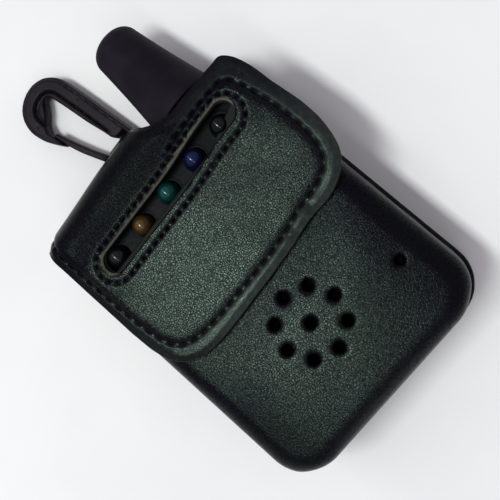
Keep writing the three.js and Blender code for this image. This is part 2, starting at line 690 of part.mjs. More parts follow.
function ferriteCoil() {
  const outer = discX(ROD.radius + GAP + 0.5, ROD.y, ROD.z, -14, 2, 24);
  return outer.subtract(discX(ROD.radius + GAP, ROD.y, ROD.z, -15, 3, 24));
}
addPart("ferrite_coil", ferriteCoil(), copper);

// ---------------------------------------------------------------------------------------------
// Thumbwheel controls: each hangs under the board, with its wheel through the right-hand side
// ---------------------------------------------------------------------------------------------
const SPINDLE_RADIUS = 1.6;
const SPINDLE_TOP = 11;
const CONTROL_BOTTOM = WHEEL_TOP + 0.8;

function controlBody(y) {
  const half = 5.8;
  const body = box(28.1 - 2 * half, 28.1, y - half, y + half, CONTROL_BOTTOM, BOARD_BOTTOM - GAP);
  return body.subtract(discZ(SPINDLE_RADIUS + GAP, WHEEL_X, y, CONTROL_BOTTOM - 1, SPINDLE_TOP + GAP, 16));
}
addPart("volume_control", controlBody(VOLUME_Y), chipPlastic);
addPart("tuning_capacitor", controlBody(TUNING_Y), chipPlastic);

function thumbwheel(y) {
  const teeth = 30;
  const shape = new THREE.Shape();
  for (let i = 0; i < 2 * teeth; i += 1) {
    const angle = (i * Math.PI) / teeth;
    const radius = i % 2 === 0 ? WHEEL_RADIUS : WHEEL_RADIUS - 0.35;
    const x = WHEEL_X + radius * Math.cos(angle);
    if (i === 0) shape.moveTo(x, y);
    else shape.lineTo(x, y + radius * Math.sin(angle));
  }
  shape.closePath();
  let wheel = plate(shape, WHEEL_BOTTOM, WHEEL_TOP);
  wheel = wheel.add(discZ(SPINDLE_RADIUS, WHEEL_X, y, WHEEL_BOTTOM + 1, SPINDLE_TOP, 16));
  wheel = wheel.subtract(discZ(1.9, WHEEL_X, y, WHEEL_BOTTOM - 1, WHEEL_BOTTOM + 0.9, 16));
  return wheel.subtract(discZ(0.9, WHEEL_X, y, WHEEL_BOTTOM - 1, SPINDLE_TOP - 1, 12));
}
addPart("volume_wheel", thumbwheel(VOLUME_Y), casePlastic);
addPart("tuning_wheel", thumbwheel(TUNING_Y), casePlastic);

function wheelScrew(y) {
  const head = WHEEL_BOTTOM;
  const profile = [[0, head], [1.6, head], [1.6, head + 0.6], [0.6, head + 0.6], [0.6, 9.6], [0, 9.6]];
  return turnedZ(profile, WHEEL_X, y, 14);
}
addPart("volume_wheel_screw", wheelScrew(VOLUME_Y), steel);
addPart("tuning_wheel_screw", wheelScrew(TUNING_Y), steel);

// ---------------------------------------------------------------------------------------------
// Scan button, pressed with a pin through the small hole in the leather
// ---------------------------------------------------------------------------------------------
const SWITCH_TOP = 17.4;
const BUTTON_FLANGE_BOTTOM = SWITCH_TOP + 1.2;

function scanButton() {
  const low = BUTTON_FLANGE_BOTTOM;
  const profile = [[0, low], [1.9, low], [1.9, low + 1], [0.9, low + 1], [0.9, 22.9], [0, 22.9]];
  return turnedZ(profile, PIN_HOLE.x, PIN_HOLE.y, 16);
}
addPart("scan_button", scanButton(), casePlastic);
const switchBody = box(
  PIN_HOLE.x - 1.7, PIN_HOLE.x + 4.4, PIN_HOLE.y - 3, PIN_HOLE.y + 3, ON_BOARD, SWITCH_TOP,
);
addPart("scan_switch", switchBody, chipPlastic);

// ---------------------------------------------------------------------------------------------
// Speaker
// ---------------------------------------------------------------------------------------------
const speakerFrame = [
  [2, 17], [9.2, 17], [15.4, 19.6], [18, 19.6], [18, 20.6],
  [14.9, 20.6], [8.8, 18], [2, 18], [2, 17],
];
addPart("speaker_frame", turnedZ(speakerFrame, SPEAKER_X, SPEAKER_Y, 28), steel);

const speakerCone = [
  [0, 18.8], [8, 18.8], [13.2, 20.2], [13.2, 20.6], [8, 19.2], [3.6, 19.2], [2.4, 19.9], [0, 20.2],
];
addPart("speaker_cone", turnedZ(speakerCone, SPEAKER_X, SPEAKER_Y, 28), paper);

const speakerMagnet = [[0, 14.9], [8, 14.9], [8, 16.7], [1.6, 16.7], [1.6, 18.4], [0, 18.4]];
addPart("speaker_magnet", turnedZ(speakerMagnet, SPEAKER_X, SPEAKER_Y, 24), magnetMetal);

// ---------------------------------------------------------------------------------------------
// Batteries and their contacts
// ---------------------------------------------------------------------------------------------
function batteryCell(y, positiveSide) {
  const can = discX(CELL_RADIUS, y, CELL_Z, CELL_LEFT + 1, CELL_RIGHT - 1, 20);
  const nub = positiveSide > 0 ? [CELL_RIGHT - 1.2, CELL_RIGHT] : [CELL_LEFT, CELL_LEFT + 1.2];
  return can.add(discX(1.8, y, CELL_Z, nub[0], nub[1], 12));
}

function contactSpring(y) {
  const turns = 3;
  const coil = new THREE.Curve();
  const length = 3;
  coil.getPoint = (t) => {
    const angle = t * turns * 2 * Math.PI;
    const radius = 2.9 - 0.5 * t;
    return new THREE.Vector3(
      -27.2 + t * length, y + radius * Math.cos(angle), CELL_Z + radius * Math.sin(angle),
    );
  };
  return wireAlong(coil, 0.3, turns * 10);
}

function wireAlong(curve, radius, steps) {
  const section = new THREE.Shape();
  const sides = 6;
  for (let i = 0; i < sides; i += 1) {
    const angle = (i / sides) * 2 * Math.PI;
    if (i === 0) section.moveTo(radius, 0);
    else section.lineTo(radius * Math.cos(angle), radius * Math.sin(angle));
  }
  section.closePath();
  return solid(new THREE.ExtrudeGeometry(section, { steps, extrudePath: curve, bevelEnabled: false }));
}

CELL_ROWS.forEach((y, index) => {
  const positiveSide = index === 0 ? 1 : -1;
  addPart(`battery_cell_${index + 1}`, batteryCell(y, positiveSide), cellJacket);
  addPart(`battery_spring_${index + 1}`, contactSpring(y), steel);
});
const contactPlate = box(
  CELL_RIGHT + GAP, CELL_RIGHT + 0.7, CELL_ROWS[0] - 4, CELL_ROWS[1] + 4, FLOOR_INSIDE + 1.5, BOARD_BOTTOM - 1,
);
addPart("battery_contact", contactPlate, steel);

// ---------------------------------------------------------------------------------------------
// Antenna
// ---------------------------------------------------------------------------------------------
const SLEEVE_BASE_Y = SHOULDER.top + GAP + 0.1;
const TIP_ROUND = 4;

function antennaSleeve() {
  const bore = 5.2;
  const shoulder = ANTENNA_TIP_Y - TIP_ROUND;
  const profile = [[0, 59], [bore, 59], [bore, SLEEVE_BASE_Y], [ANTENNA_BASE_RADIUS, SLEEVE_BASE_Y]];
  for (let step = 0; step <= 6; step += 1) {
    const angle = (step / 6) * QUARTER;
    const radius = ANTENNA_TIP_RADIUS - TIP_ROUND * (1 - Math.cos(angle));
    profile.push([radius, shoulder + TIP_ROUND * Math.sin(angle)]);
  }
  profile.push([0, ANTENNA_TIP_Y]);
  return turnedY(profile, ANTENNA_X, ANTENNA_Z, 32);
}
addPart("antenna_sleeve", antennaSleeve(), rubber);

function antennaBush() {
  const outer = SHOULDER.top - HOUSING_WALL - GAP; // the flange bears on the inside of the housing
  const inner = outer - 2.8;
  const flange = 4;
  const profile = [
    [0, inner], [flange, inner], [flange, outer], [ANTENNA_BUSH_RADIUS, outer], [ANTENNA_BUSH_RADIUS, 46],
    [0, 46],
  ];
  return turnedY(profile, ANTENNA_X, ANTENNA_Z, 20);
}
addPart("antenna_bush", antennaBush(), brass);

function antennaCoil() {
  const turns = 5;
  const start = 47;
  const length = 10.8;
  const radius = 3.8;
  const helix = new THREE.Curve();
  helix.getPoint = (t) => {
    const angle = t * turns * 2 * Math.PI;
    return new THREE.Vector3(
      ANTENNA_X + radius * Math.cos(angle), start + t * length, ANTENNA_Z + radius * Math.sin(angle),
    );
  };
  return wireAlong(helix, 0.45, turns * 12);
}
addPart("antenna_coil", antennaCoil(), copper);

export default group;
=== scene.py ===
"""A pocket radio in its fitted leather pouch, lying on its back on white paper.

Every shape is worked out in millimetres in the row frame: +X to the radio's right, +Y towards the antenna,
+Z out of its front. Leather is laid out flat first, as a trimmed grid of (u, v) points, and is then rolled
over its edges by a function that gives the place of each point at a height above its face.
"""
import json
import math

import bpy
import numpy as np
from mathutils import Matrix, Vector


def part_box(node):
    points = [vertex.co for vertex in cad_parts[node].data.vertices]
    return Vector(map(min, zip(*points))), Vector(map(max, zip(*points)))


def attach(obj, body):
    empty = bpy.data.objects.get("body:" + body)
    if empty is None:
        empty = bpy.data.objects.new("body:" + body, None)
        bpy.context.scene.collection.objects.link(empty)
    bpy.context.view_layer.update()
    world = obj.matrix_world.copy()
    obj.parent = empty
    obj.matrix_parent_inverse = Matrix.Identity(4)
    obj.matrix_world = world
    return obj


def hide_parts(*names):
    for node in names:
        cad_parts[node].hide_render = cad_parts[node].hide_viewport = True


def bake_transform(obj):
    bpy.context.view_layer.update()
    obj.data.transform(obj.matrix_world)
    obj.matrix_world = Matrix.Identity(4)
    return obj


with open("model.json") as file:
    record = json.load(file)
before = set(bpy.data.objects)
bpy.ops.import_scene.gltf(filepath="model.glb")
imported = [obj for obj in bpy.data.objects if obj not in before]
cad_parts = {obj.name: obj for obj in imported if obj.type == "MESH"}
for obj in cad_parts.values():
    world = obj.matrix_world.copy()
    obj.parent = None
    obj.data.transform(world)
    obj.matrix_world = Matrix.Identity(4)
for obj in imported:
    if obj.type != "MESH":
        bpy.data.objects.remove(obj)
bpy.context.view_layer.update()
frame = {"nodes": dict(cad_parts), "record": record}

MM = 0.001
TINY = 1e-9


def node_box(node):
    """Lowest and highest corner of a CAD node, in millimetres."""
    low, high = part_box(node)
    return np.array(low) / MM, np.array(high) / MM


# ---- Driving sizes, in millimetres
POUCH_LOW, POUCH_HIGH = node_box("pouch_shell")
BACK_LOW, BACK_HIGH = node_box("back_panel")
FLAP_LOW, FLAP_HIGH = node_box("flap_leather")
LINING_LOW, LINING_HIGH = node_box("flap_lining")
STRAP_LOW, STRAP_HIGH = node_box("flap_strap")
PANEL_LOW, PANEL_HIGH = node_box("lamp_panel")
HOOK_LOW, HOOK_HIGH = node_box("hook_body")
GATE_LOW, GATE_HIGH = node_box("hook_gate")
TAB_LOW, TAB_HIGH = node_box("hook_tab")
SLEEVE_LOW, SLEEVE_HIGH = node_box("antenna_sleeve")
# The colours at the rim and the middle of each lens: the rim is the lens's tint, and the paler middle is
# painted light shining through the lens
LAMP_TINTS_AND_LIT_HEARTS = {
    "lamp_clear": ((0.003, 0.0035, 0.004), (0.008, 0.0085, 0.0095)),
    "lamp_amber": ((0.030, 0.015, 0.004), (0.085, 0.045, 0.010)),
    "lamp_green": ((0.0, 0.022, 0.020), (0.001, 0.055, 0.050)),
    "lamp_blue": ((0.0025, 0.004, 0.022), (0.004, 0.009, 0.055)),
    "lamp_smoked": ((0.002, 0.0026, 0.0034), (0.003, 0.0036, 0.005)),
}

POUCH_FACE = POUCH_HIGH[2]
POUCH_ROLL = 5.5
POUCH_CORNER = 11
WALL = 1.6
FLAP_FACE = FLAP_HIGH[2]
FLAP_PLY = FLAP_HIGH[2] - FLAP_LOW[2]
STRAP_PLY = 2.1
TOP_ROLL = 8.5
TOP_ROLL_Y = STRAP_HIGH[1] - TOP_ROLL
TOP_ROLL_Z = FLAP_FACE - TOP_ROLL
QUARTER_ARC = TOP_ROLL * math.pi / 2
STRAP_END = TOP_ROLL_Y + QUARTER_ARC + TOP_ROLL_Z - STRAP_LOW[2]
SPEAKER = (0.0, -19.3)
SOUND_RING = 8.4
SOUND_HOLE = 1.42
# Round places in the leather: x, y and radius
PIN_HOLE = (23.6, -25.2, 1.2)
KEEPER = (3.0, 4.0, 4.7)
NOTCH = (18.5, 49.2, 13.0)
ANTENNA_X = (SLEEVE_LOW[0] + SLEEVE_HIGH[0]) / 2
ANTENNA_Z = (SLEEVE_LOW[2] + SLEEVE_HIGH[2]) / 2
LAMP_Y = 26.0
BAR_Y = 48.6
BAR_Z = 3.0
# Stitches: pitch and length
EDGE_STITCH_SIZE = (3.1, 1.7)
SLOT_STITCH_SIZE = (2.3, 1.05)
THREAD_DEPTH = -0.72

# Slots with round ends: left end, right end, middle height, radius, and the lift of the right-hand part
POUCH_SLOT = (-23.0, 27.0, 26.0, 4.0, 0.0)
FLAP_SLOT = (-22.8, 26.7, 25.45, 3.15, 1.1)
LINING_SLOT = (-22.3, 26.3, 25.25, 3.35, 0.9)
SLOT_STITCH = (-24.6, 28.5, 24.85, 4.85, 0.8)
LIFT_START = 2
LIFT_END = 20


# ---- Curves and distances in the plane
def fade(x, start, end):
    """0 at start, 1 at end, smooth between."""
    t = np.clip((x - start) / (end - start), 0, 1)
    return t * t * (3 - 2 * t)


def hump(x, centre, width):
    """1 at the centre, falling away smoothly on both sides."""
    return np.exp(-(((x - centre) / width) ** 2))


def curve_through(points, parts=8):
    """A smooth line through the points, as an array of (x, y)."""
    points = np.array(points, float)
    padded = np.vstack([2 * points[0] - points[1], points, 2 * points[-1] - points[-2]])
    line = []
    for p0, p1, p2, p3 in zip(padded, padded[1:], padded[2:], padded[3:]):
        for t in np.arange(parts) / parts:
            a = 2 * p1
            b = p2 - p0
            c = 2 * p0 - 5 * p1 + 4 * p2 - p3
            d = 3 * p1 - p0 - 3 * p2 + p3
            line.append((a + b * t + c * t * t + d * t**3) / 2)
    line.append(points[-1])
    return np.array(line)


def slot_line(slot, parts=24):
    """The outline of a slot, as a closed line."""
    left, right, middle, radius, lift = slot
    turn = np.linspace(-math.pi / 2, math.pi / 2, parts)
    far = np.linspace(right - radius, left + radius, parts)
    right_end = right - radius + radius * np.cos(turn)
    left_end = left + radius - radius * np.cos(turn)
    x = np.concatenate([right_end, far, left_end, far[::-1]])
    rise = radius * np.sin(turn)
    level = np.full(parts, radius)
    y = np.concatenate([rise, level, -rise, -level]) + middle + lift * fade(x, LIFT_START, LIFT_END)
    line = np.stack([x, y], 1)
    return np.vstack([line, line[:1]])


def slot_distance(x, y, slot):
    """Distance outside a slot; negative inside it."""
    left, right, middle, radius, lift = slot
    past = np.maximum(np.maximum(left + radius - x, x - right + radius), 0)
    return np.hypot(past, y - middle - lift * fade(x, LIFT_START, LIFT_END)) - radius


def apart(x, y, spot):
    """Distance from a spot, or from the middle of a round place."""
    return np.hypot(x - spot[0], y - spot[1])


def line_distance(x, y, line):
    """Distance to a line, and how far along the line its nearest point is."""
    best = np.full(np.shape(x), np.inf)
    along = np.zeros(np.shape(x))
    walked = 0.0
    for (ax, ay), (bx, by) in zip(line[:-1], line[1:]):
        length = math.hypot(bx - ax, by - ay)
        if length < TINY:
            continue
        t = np.clip(((x - ax) * (bx - ax) + (y - ay) * (by - ay)) / length**2, 0, 1)
        away = np.hypot(x - ax - t * (bx - ax), y - ay - t * (by - ay))
        nearer = away < best
        best = np.where(nearer, away, best)
        along = np.where(nearer, walked + t * length, along)
        walked += length
    return best, along


def outline_distance(x, y, outline):
    """Distance outside a closed outline; negative inside it."""
    closed = np.vstack([outline, outline[:1]])
    inside = np.zeros(np.shape(x), bool)
    for (ax, ay), (bx, by) in zip(closed[:-1], closed[1:]):
        if ay == by:
            continue
        crosses = (ay > y) != (by > y)
        inside ^= crosses & (x < ax + (y - ay) / (by - ay) * (bx - ax))
    away, _ = line_distance(x, y, closed)
    return np.where(inside, -away, away)


# ---- Meshes
def trimmed_grid(low, high, step, outside):
    """A grid of square faces over a box in the plane, cut off along the line where outside(u, v) is zero."""
    across = np.arange(low[0], high[0] + step, step)
    up = np.arange(low[1], high[1] + step, step)
    u, v = np.meshgrid(across, up, indexing="ij")
    d = outside(u, v)
    slope_u, slope_v = np.gradient(d, step)
    slope = np.maximum(np.hypot(slope_u, slope_v), 0.2)
    near = np.abs(d) < 0.3 * step * slope
    push = np.where(near, -d / slope**2, 0)
    u = u + push * slope_u
    v = v + push * slope_v
    d = np.where(near, 0, d)
    number = np.arange(u.size).reshape(u.shape)
    corners = [np.s_[:-1, :-1], np.s_[1:, :-1], np.s_[1:, 1:], np.s_[:-1, 1:]]
    kept = [d[corner] <= 0 for corner in corners]
    whole = np.all(kept, axis=0)
    partly = np.any(kept, axis=0) & ~whole
    ids = [number[corner] for corner in corners]
    faces = np.stack([part[whole] for part in ids], 1).tolist()
    places = [tuple(p) for p in np.stack([u.ravel(), v.ravel()], 1)]
    level = d.ravel()
    cuts = {}
    for i, j in zip(*np.nonzero(partly)):
        ring = [int(part[i, j]) for part in ids]
        face = []
        for a, b in zip(ring, ring[1:] + ring[:1]):
            if level[a] <= 0:
                face.append(a)
            if (level[a] < 0) == (level[b] < 0) or level[a] == 0 or level[b] == 0:
                continue
            key = (min(a, b), max(a, b))
            if key not in cuts:
                t = level[a] / (level[a] - level[b])
                cuts[key] = len(places)
                start = np.array(places[a])
                places.append(tuple(start + t * (np.array(places[b]) - start)))
            face.append(cuts[key])
        if len(face) > 2:
            faces.append(face)
    used = sorted({k for face in faces for k in face})
    renumber = {old: new for new, old in enumerate(used)}
    faces = [[renumber[k] for k in face] for face in faces]
    return np.array([places[k] for k in used]), faces


def grid_round(outline, step, outside):
    """A trimmed grid over everything inside an outline."""
    return trimmed_grid(outline.min(axis=0) - step, outline.max(axis=0) + step, step, outside)


def add_object(name, data):
    made = bpy.data.objects.new(name, data)
    bpy.context.scene.collection.objects.link(made)
    return made


def mesh_piece(name, points, faces, sharp=50, marks=None):
    """A mesh object from points in millimetres. Its rest mark keeps them, to place the material's grain."""
    mesh = bpy.data.meshes.new(name)
    mesh.from_pydata((np.asarray(points) * MM).tolist(), [], faces)
    mesh.validate()
    mesh.polygons.foreach_set("use_smooth", np.ones(len(mesh.polygons), bool))
    mesh.set_sharp_from_angle(angle=math.radians(sharp))
    rest = mesh.attributes.new("rest", "FLOAT_VECTOR", "POINT")
    rest.data.foreach_set("vector", np.asarray(points, np.float32).ravel())
    for key, values in (marks or {}).items():
        mark = mesh.attributes.new(key, "FLOAT", "POINT")
        mark.data.foreach_set("value", np.asarray(values, np.float32))
    mesh.update()
    return add_object(name, mesh)


def outward_directions(flat, rim):
    """For each point on the rim, the direction in the plane that leads out of the sheet."""
    out = {}
    for a, b in rim:
        along = flat[b] - flat[a]
        side = np.array([along[1], -along[0]])
        length = np.linalg.norm(side)
        if length < TINY:
            continue
        for k in (a, b):
            out[k] = out.get(k, np.zeros(2)) + side / length
    keys = sorted(out)
    directions = np.array([out[k] / max(np.linalg.norm(out[k]), TINY) for k in keys])
    return keys, directions


def two_sided(name, grid, outer, inner, rim_steps=4, bulge=0.3, marks=None):
    """A closed sheet: outer and inner give the place of each flat point on its two faces."""
    flat, faces = grid
    top = np.array(outer(*flat.T)).T
    low = np.array(inner(*flat.T)).T
    edges = {(a, b) for face in faces for a, b in zip(face, face[1:] + face[:1])}
    rim = sorted((a, b) for a, b in edges if (b, a) not in edges)
    keys, directions = outward_directions(flat, rim)
    reach = 0.05
    stepped = flat[keys] + reach * directions
    beyond = np.array(outer(*stepped.T)).T - top[keys]
    beyond /= np.maximum(np.linalg.norm(beyond, axis=1, keepdims=True), TINY)
    half = (top[keys] - low[keys]) / 2
    middle = (top[keys] + low[keys]) / 2
    proud = bulge * np.linalg.norm(half, axis=1, keepdims=True)
    count = len(flat)
    points = [top, low]
    place = {key: index for index, key in enumerate(keys)}
    rings = []
    for step in range(1, rim_steps):
        angle = math.pi * step / rim_steps
        points.append(middle + math.cos(angle) * half + math.sin(angle) * proud * beyond)
        rings.append(2 * count + (step - 1) * len(keys))
    solid = [list(face) for face in faces]
    solid += [[k + count for k in reversed(face)] for face in faces]
    for a, b in rim:
        column_a = [a] + [start + place[a] for start in rings] + [a + count]
        column_b = [b] + [start + place[b] for start in rings] + [b + count]
        for step in range(rim_steps):
            solid.append([column_b[step], column_a[step], column_a[step + 1], column_b[step + 1]])
    values = {}
    for key, mark in (marks or {}).items():
        on_face = mark(*flat.T)
        on_rim = [on_face[keys]] * (rim_steps - 1)
        values[key] = np.concatenate([on_face, on_face] + on_rim)
    return mesh_piece(name, np.vstack(points), solid, marks=values)


def lathe(name, profile, centre, axis, sides=96):
    """Turns (radius, height) pairs about an axis, "Y" or "Z". The first and last lie on the axis."""
    points = []
    faces = []
    rings = []
    for radius, height in profile:
        if radius < TINY:
            rings.append([len(points)] * sides)
            points.append((0, 0, height))
            continue
        rings.append(list(range(len(points), len(points) + sides)))
        for k in range(sides):
            angle = 2 * math.pi * k / sides
            points.append((radius * math.cos(angle), radius * math.sin(angle), height))
    for lower, upper in zip(rings[:-1], rings[1:]):
        for k in range(sides):
            n = (k + 1) % sides
            face = [lower[k], lower[n], upper[n], upper[k]]
            face = [p for i, p in enumerate(face) if p not in face[:i]]
            if len(face) > 2:
                faces.append(face)
    points = np.array(points)
    if axis == "Y":
        points = points[:, [1, 2, 0]]
    return mesh_piece(name, points + np.array(centre), faces, sharp=40)


def quarter_turn(steps):
    """Cosine and sine at each step of a quarter turn, after the first place."""
    angles = [step / steps * math.pi / 2 for step in range(1, steps + 1)]
    return [(math.cos(angle), math.sin(angle)) for angle in angles]


def rounded_profile(corners, radius, parts=5):
    """Rounds the corners of a line of (radius, height) pairs."""
    corners = np.array(corners, float)
    line = [corners[0]]
    for before, corner, after in zip(corners, corners[1:], corners[2:]):
        back = before - corner
        ahead = after - corner
        room = min(radius, np.linalg.norm(back) / 2, np.linalg.norm(ahead) / 2)
        start = corner + back / np.linalg.norm(back) * room
        end = corner + ahead / np.linalg.norm(ahead) * room
        for t in np.arange(parts + 1) / parts:
            line.append((1 - t) ** 2 * start + 2 * t * (1 - t) * corner + t * t * end)
    line.append(corners[-1])
    return line


# ---- Finishes, placed by the rest mark in millimetres, or by the CAD node's own coordinates
class Finish:
    """A node material while it is being put together."""

    def __init__(self, name, carried=False):
        self.material = bpy.data.materials.new(name)
        self.material.use_nodes = True
        self.tree = self.material.node_tree
        self.shader = self.tree.nodes["Principled BSDF"]
        if carried:
            place = self.node("ShaderNodeTexCoord").outputs["Object"]
            ends = {0: place, "Scale": 1 / MM}
            self.place = self.node("ShaderNodeVectorMath", ends, operation="SCALE").outputs[0]
        else:
            self.place = self.mark("rest", "Vector")

    def node(self, kind, ends=None, **settings):
        """A new node with its settings, and the values or links that go into it."""
        made = self.tree.nodes.new(kind)
        for key, value in settings.items():
            setattr(made, key, value)
        for key, value in (ends or {}).items():
            self.feed(made.inputs[key], value)
        return made

    def feed(self, socket, value):
        if isinstance(value, bpy.types.NodeSocket):
            self.tree.links.new(value, socket)
        elif socket.type == "RGBA":
            socket.default_value = (*value, 1)
        else:
            socket.default_value = value

    def mark(self, name, output="Fac"):
        return self.node("ShaderNodeAttribute", attribute_name=name).outputs[output]

    def math(self, operation, a, b=0.0, clamp=False):
        return self.node("ShaderNodeMath", {0: a, 1: b}, operation=operation, use_clamp=clamp).outputs[0]

    def plus(self, a, b):
        return self.math("ADD", a, b)

    def minus(self, a, b):
        return self.math("SUBTRACT", a, b)

    def times(self, a, b):
        return self.math("MULTIPLY", a, b)

    def spread(self, value, low, high, out_low=0.0, out_high=1.0):
        """The value, taken smoothly from between low and high to between out_low and out_high."""
        ends = {"Value": value, "From Min": low, "From Max": high, "To Min": out_low, "To Max": out_high}
        return self.node("ShaderNodeMapRange", ends, interpolation_type="SMOOTHSTEP").outputs["Result"]

    def mix(self, amount, a, b):
        ends = {"Factor": amount, "A": a, "B": b}
        return self.node("ShaderNodeMix", ends, data_type="RGBA").outputs["Result"]

    def noise(self, scale, detail=3.0, rough=0.5, output="Fac"):
        """Noise with so many bumps to the millimetre."""
        ends = {"Vector": self.place, "Scale": scale, "Detail": detail, "Roughness": rough}
        return self.node("ShaderNodeTexNoise", ends).outputs[output]

    def warped(self, scale, amount):
        """The place, pushed about by noise so that cells aren't regular."""
        ends = {0: self.noise(scale, 2.0, output="Color"), 1: (amount, amount, amount), 2: self.place}
        return self.node("ShaderNodeVectorMath", ends, operation="MULTIPLY_ADD").outputs[0]

    def cells(self, scale, place):
        ends = {"Vector": place, "Scale": scale}
        return self.node("ShaderNodeTexVoronoi", ends, feature="DISTANCE_TO_EDGE").outputs["Distance"]

    def bump(self, height, depth, strength=1.0):
        """depth is in millimetres, for a height of 1."""
        ends = {"Distance": depth * MM, "Strength": strength, "Height": height}
        self.set(Normal=self.node("ShaderNodeBump", ends).outputs["Normal"])

    def set(self, **values):
        for key, value in values.items():
            self.feed(self.shader.inputs[key.replace("_", " ")], value)


LEATHER_BLACK = (0.0032, 0.0021, 0.0052)
LEATHER_GREEN = (0.0032, 0.0030, 0.0044)
# Worn leather, lighter: where the band mark puts it, this is also painted sheen and painted floor reflection
LEATHER_WORN_SHEEN = (0.024, 0.030, 0.028)
LEATHER_RAW = (0.19, 0.19, 0.155)
RAW_SHADE = (0.07, 0.07, 0.056)
# Painted shade for the holes and the stitch pits
PIT_SHADE = (0.0006, 0.0006, 0.0008)
LEATHER_TINT = (0.72, 1.0, 0.83)


def leather_finish():
    """Black pebbled leather, whose grain shows mostly in its gloss.

    Marks: band is worn and smoother, and is painted lighter both for wear and as painted sheen and painted
    reflection of the floor; raw is a cut edge; pit is a hole, painted near-black and without gloss as painted
    shade; dull is less glossy, to paint shade.
    """
    finish = Finish("leather_grain")
    place = finish.warped(0.85, 0.7)
    pebbles = finish.spread(finish.cells(1.8, place), 0.0, 0.22, 0.0, 1.1)
    grain = finish.spread(finish.noise(1.9, 3.0, 0.6), 0.3, 0.7, 0.0, 0.9)
    height = finish.plus(pebbles, grain)
    height = finish.plus(height, finish.times(finish.noise(0.5, 2.0), 0.8))
    band = finish.mark("band")
    raw = finish.mark("raw")
    patches = finish.spread(finish.noise(0.05, 2.0), 0.4, 0.62)
    colour = finish.mix(patches, LEATHER_BLACK, LEATHER_GREEN)
    worn = finish.spread(finish.noise(0.6, 5.0), 0.35, 0.75)
    # The lighter worn colour on the band is wear, and also painted sheen on the flap and painted reflection
    # of the floor at the pouch's hem
    wear_and_sheen_amount = finish.times(band, finish.plus(finish.times(worn, 0.4), 0.6))
    colour = finish.mix(wear_and_sheen_amount, colour, LEATHER_WORN_SHEEN)
    fibres = finish.noise(3.0, 6.0, 0.7)
    cut_edge = finish.mix(finish.spread(fibres, 0.35, 0.7), RAW_SHADE, LEATHER_RAW)
    colour = finish.mix(raw, colour, cut_edge)
    rough = finish.spread(finish.noise(0.9, 4.0), 0.3, 0.7, 0.2, 0.26)
    rough = finish.math("ADD", rough, finish.times(raw, 0.45), clamp=True)
    # pit: painted shade, near-black and without gloss, in the sound holes and the stitch pits
    pit = finish.mark("pit")
    colour = finish.mix(pit, colour, PIT_SHADE)
    glints = finish.spread(finish.plus(pebbles, grain), 0.3, 1.7, 0.055, 0.2)
    # dull lowers the gloss to paint shade where the leather lies out of the light: the pouch's sides, below
    # the flap's edge, the strap and the flap's upper band
    dull = finish.times(finish.mark("dull"), 0.7)
    matt = finish.plus(finish.times(band, 0.3), dull)
    glints = finish.times(glints, finish.minus(1.0, matt))
    shine = finish.times(finish.minus(1.0, pit), glints)
    finish.set(Base_Color=colour, Roughness=rough, Specular_Tint=LEATHER_TINT, Specular_IOR_Level=shine)
    finish.bump(height, 0.016, finish.minus(1.0, finish.times(band, 0.55)))
    return finish.material


def lining_finish():
    """The flap's lining: a smooth dyed face with a short nap."""
    finish = Finish("lining_nap")
    nap = finish.noise(4.5, 6.0, 0.7)
    pile = finish.noise(1.1, 3.0)
    colour = finish.mix(finish.spread(pile, 0.3, 0.7), (0.0025, 0.0032, 0.0034), (0.006, 0.0072, 0.0066))
    finish.set(Base_Color=colour, Roughness=finish.spread(nap, 0.3, 0.7, 0.5, 0.72), Specular_IOR_Level=0.15)
    finish.bump(nap, 0.05)
    return finish.material


def thread_finish():
    """Black waxed thread."""
    finish = Finish("waxed_thread")
    lay = finish.noise(5.0, 3.0)
    colour = finish.mix(lay, (0.0015, 0.0015, 0.002), (0.004, 0.0045, 0.0045))
    finish.set(Base_Color=colour, Roughness=finish.spread(lay, 0.3, 0.7, 0.5, 0.7), Specular_IOR_Level=0.08)
    finish.bump(lay, 0.08)
    return finish.material


def moulded_finish(name, dark, light, rough, grain=0.012, grain_scale=3.0, shine=0.3, carried=False):
    """Moulded plastic or rubber: fine spark-eroded texture, faint flow patches and scuffs."""
    finish = Finish(name, carried)
    texture = finish.noise(grain_scale, 5.0, 0.6)
    flow = finish.noise(0.12, 3.0)
    scuffs = finish.spread(finish.noise(0.8, 6.0, 0.7), 0.52, 0.75)
    colour = finish.mix(finish.spread(flow, 0.35, 0.65), dark, light)
    scuffed = finish.times(scuffs, 0.08)
    roughness = finish.plus(finish.spread(texture, 0.3, 0.7, *rough), scuffed)
    finish.set(Base_Color=colour, Roughness=roughness, Specular_IOR_Level=shine)
    finish.bump(texture, grain)
    return finish.material


def metal_finish(name, colour, rough=(0.2, 0.35), carried=True):
    """Plated or drawn metal, with tarnish and fine drawing lines."""
    finish = Finish(name, carried)
    tarnish = finish.spread(finish.noise(0.5, 5.0, 0.65), 0.35, 0.75)
    lines = finish.noise(9.0, 2.0)
    darker = tuple(0.62 * c for c in colour)
    base = finish.mix(tarnish, colour, darker)
    finish.set(Base_Color=base, Metallic=1.0, Roughness=finish.spread(lines, 0.3, 0.7, *rough))
    finish.bump(lines, 0.006)
    return finish.material


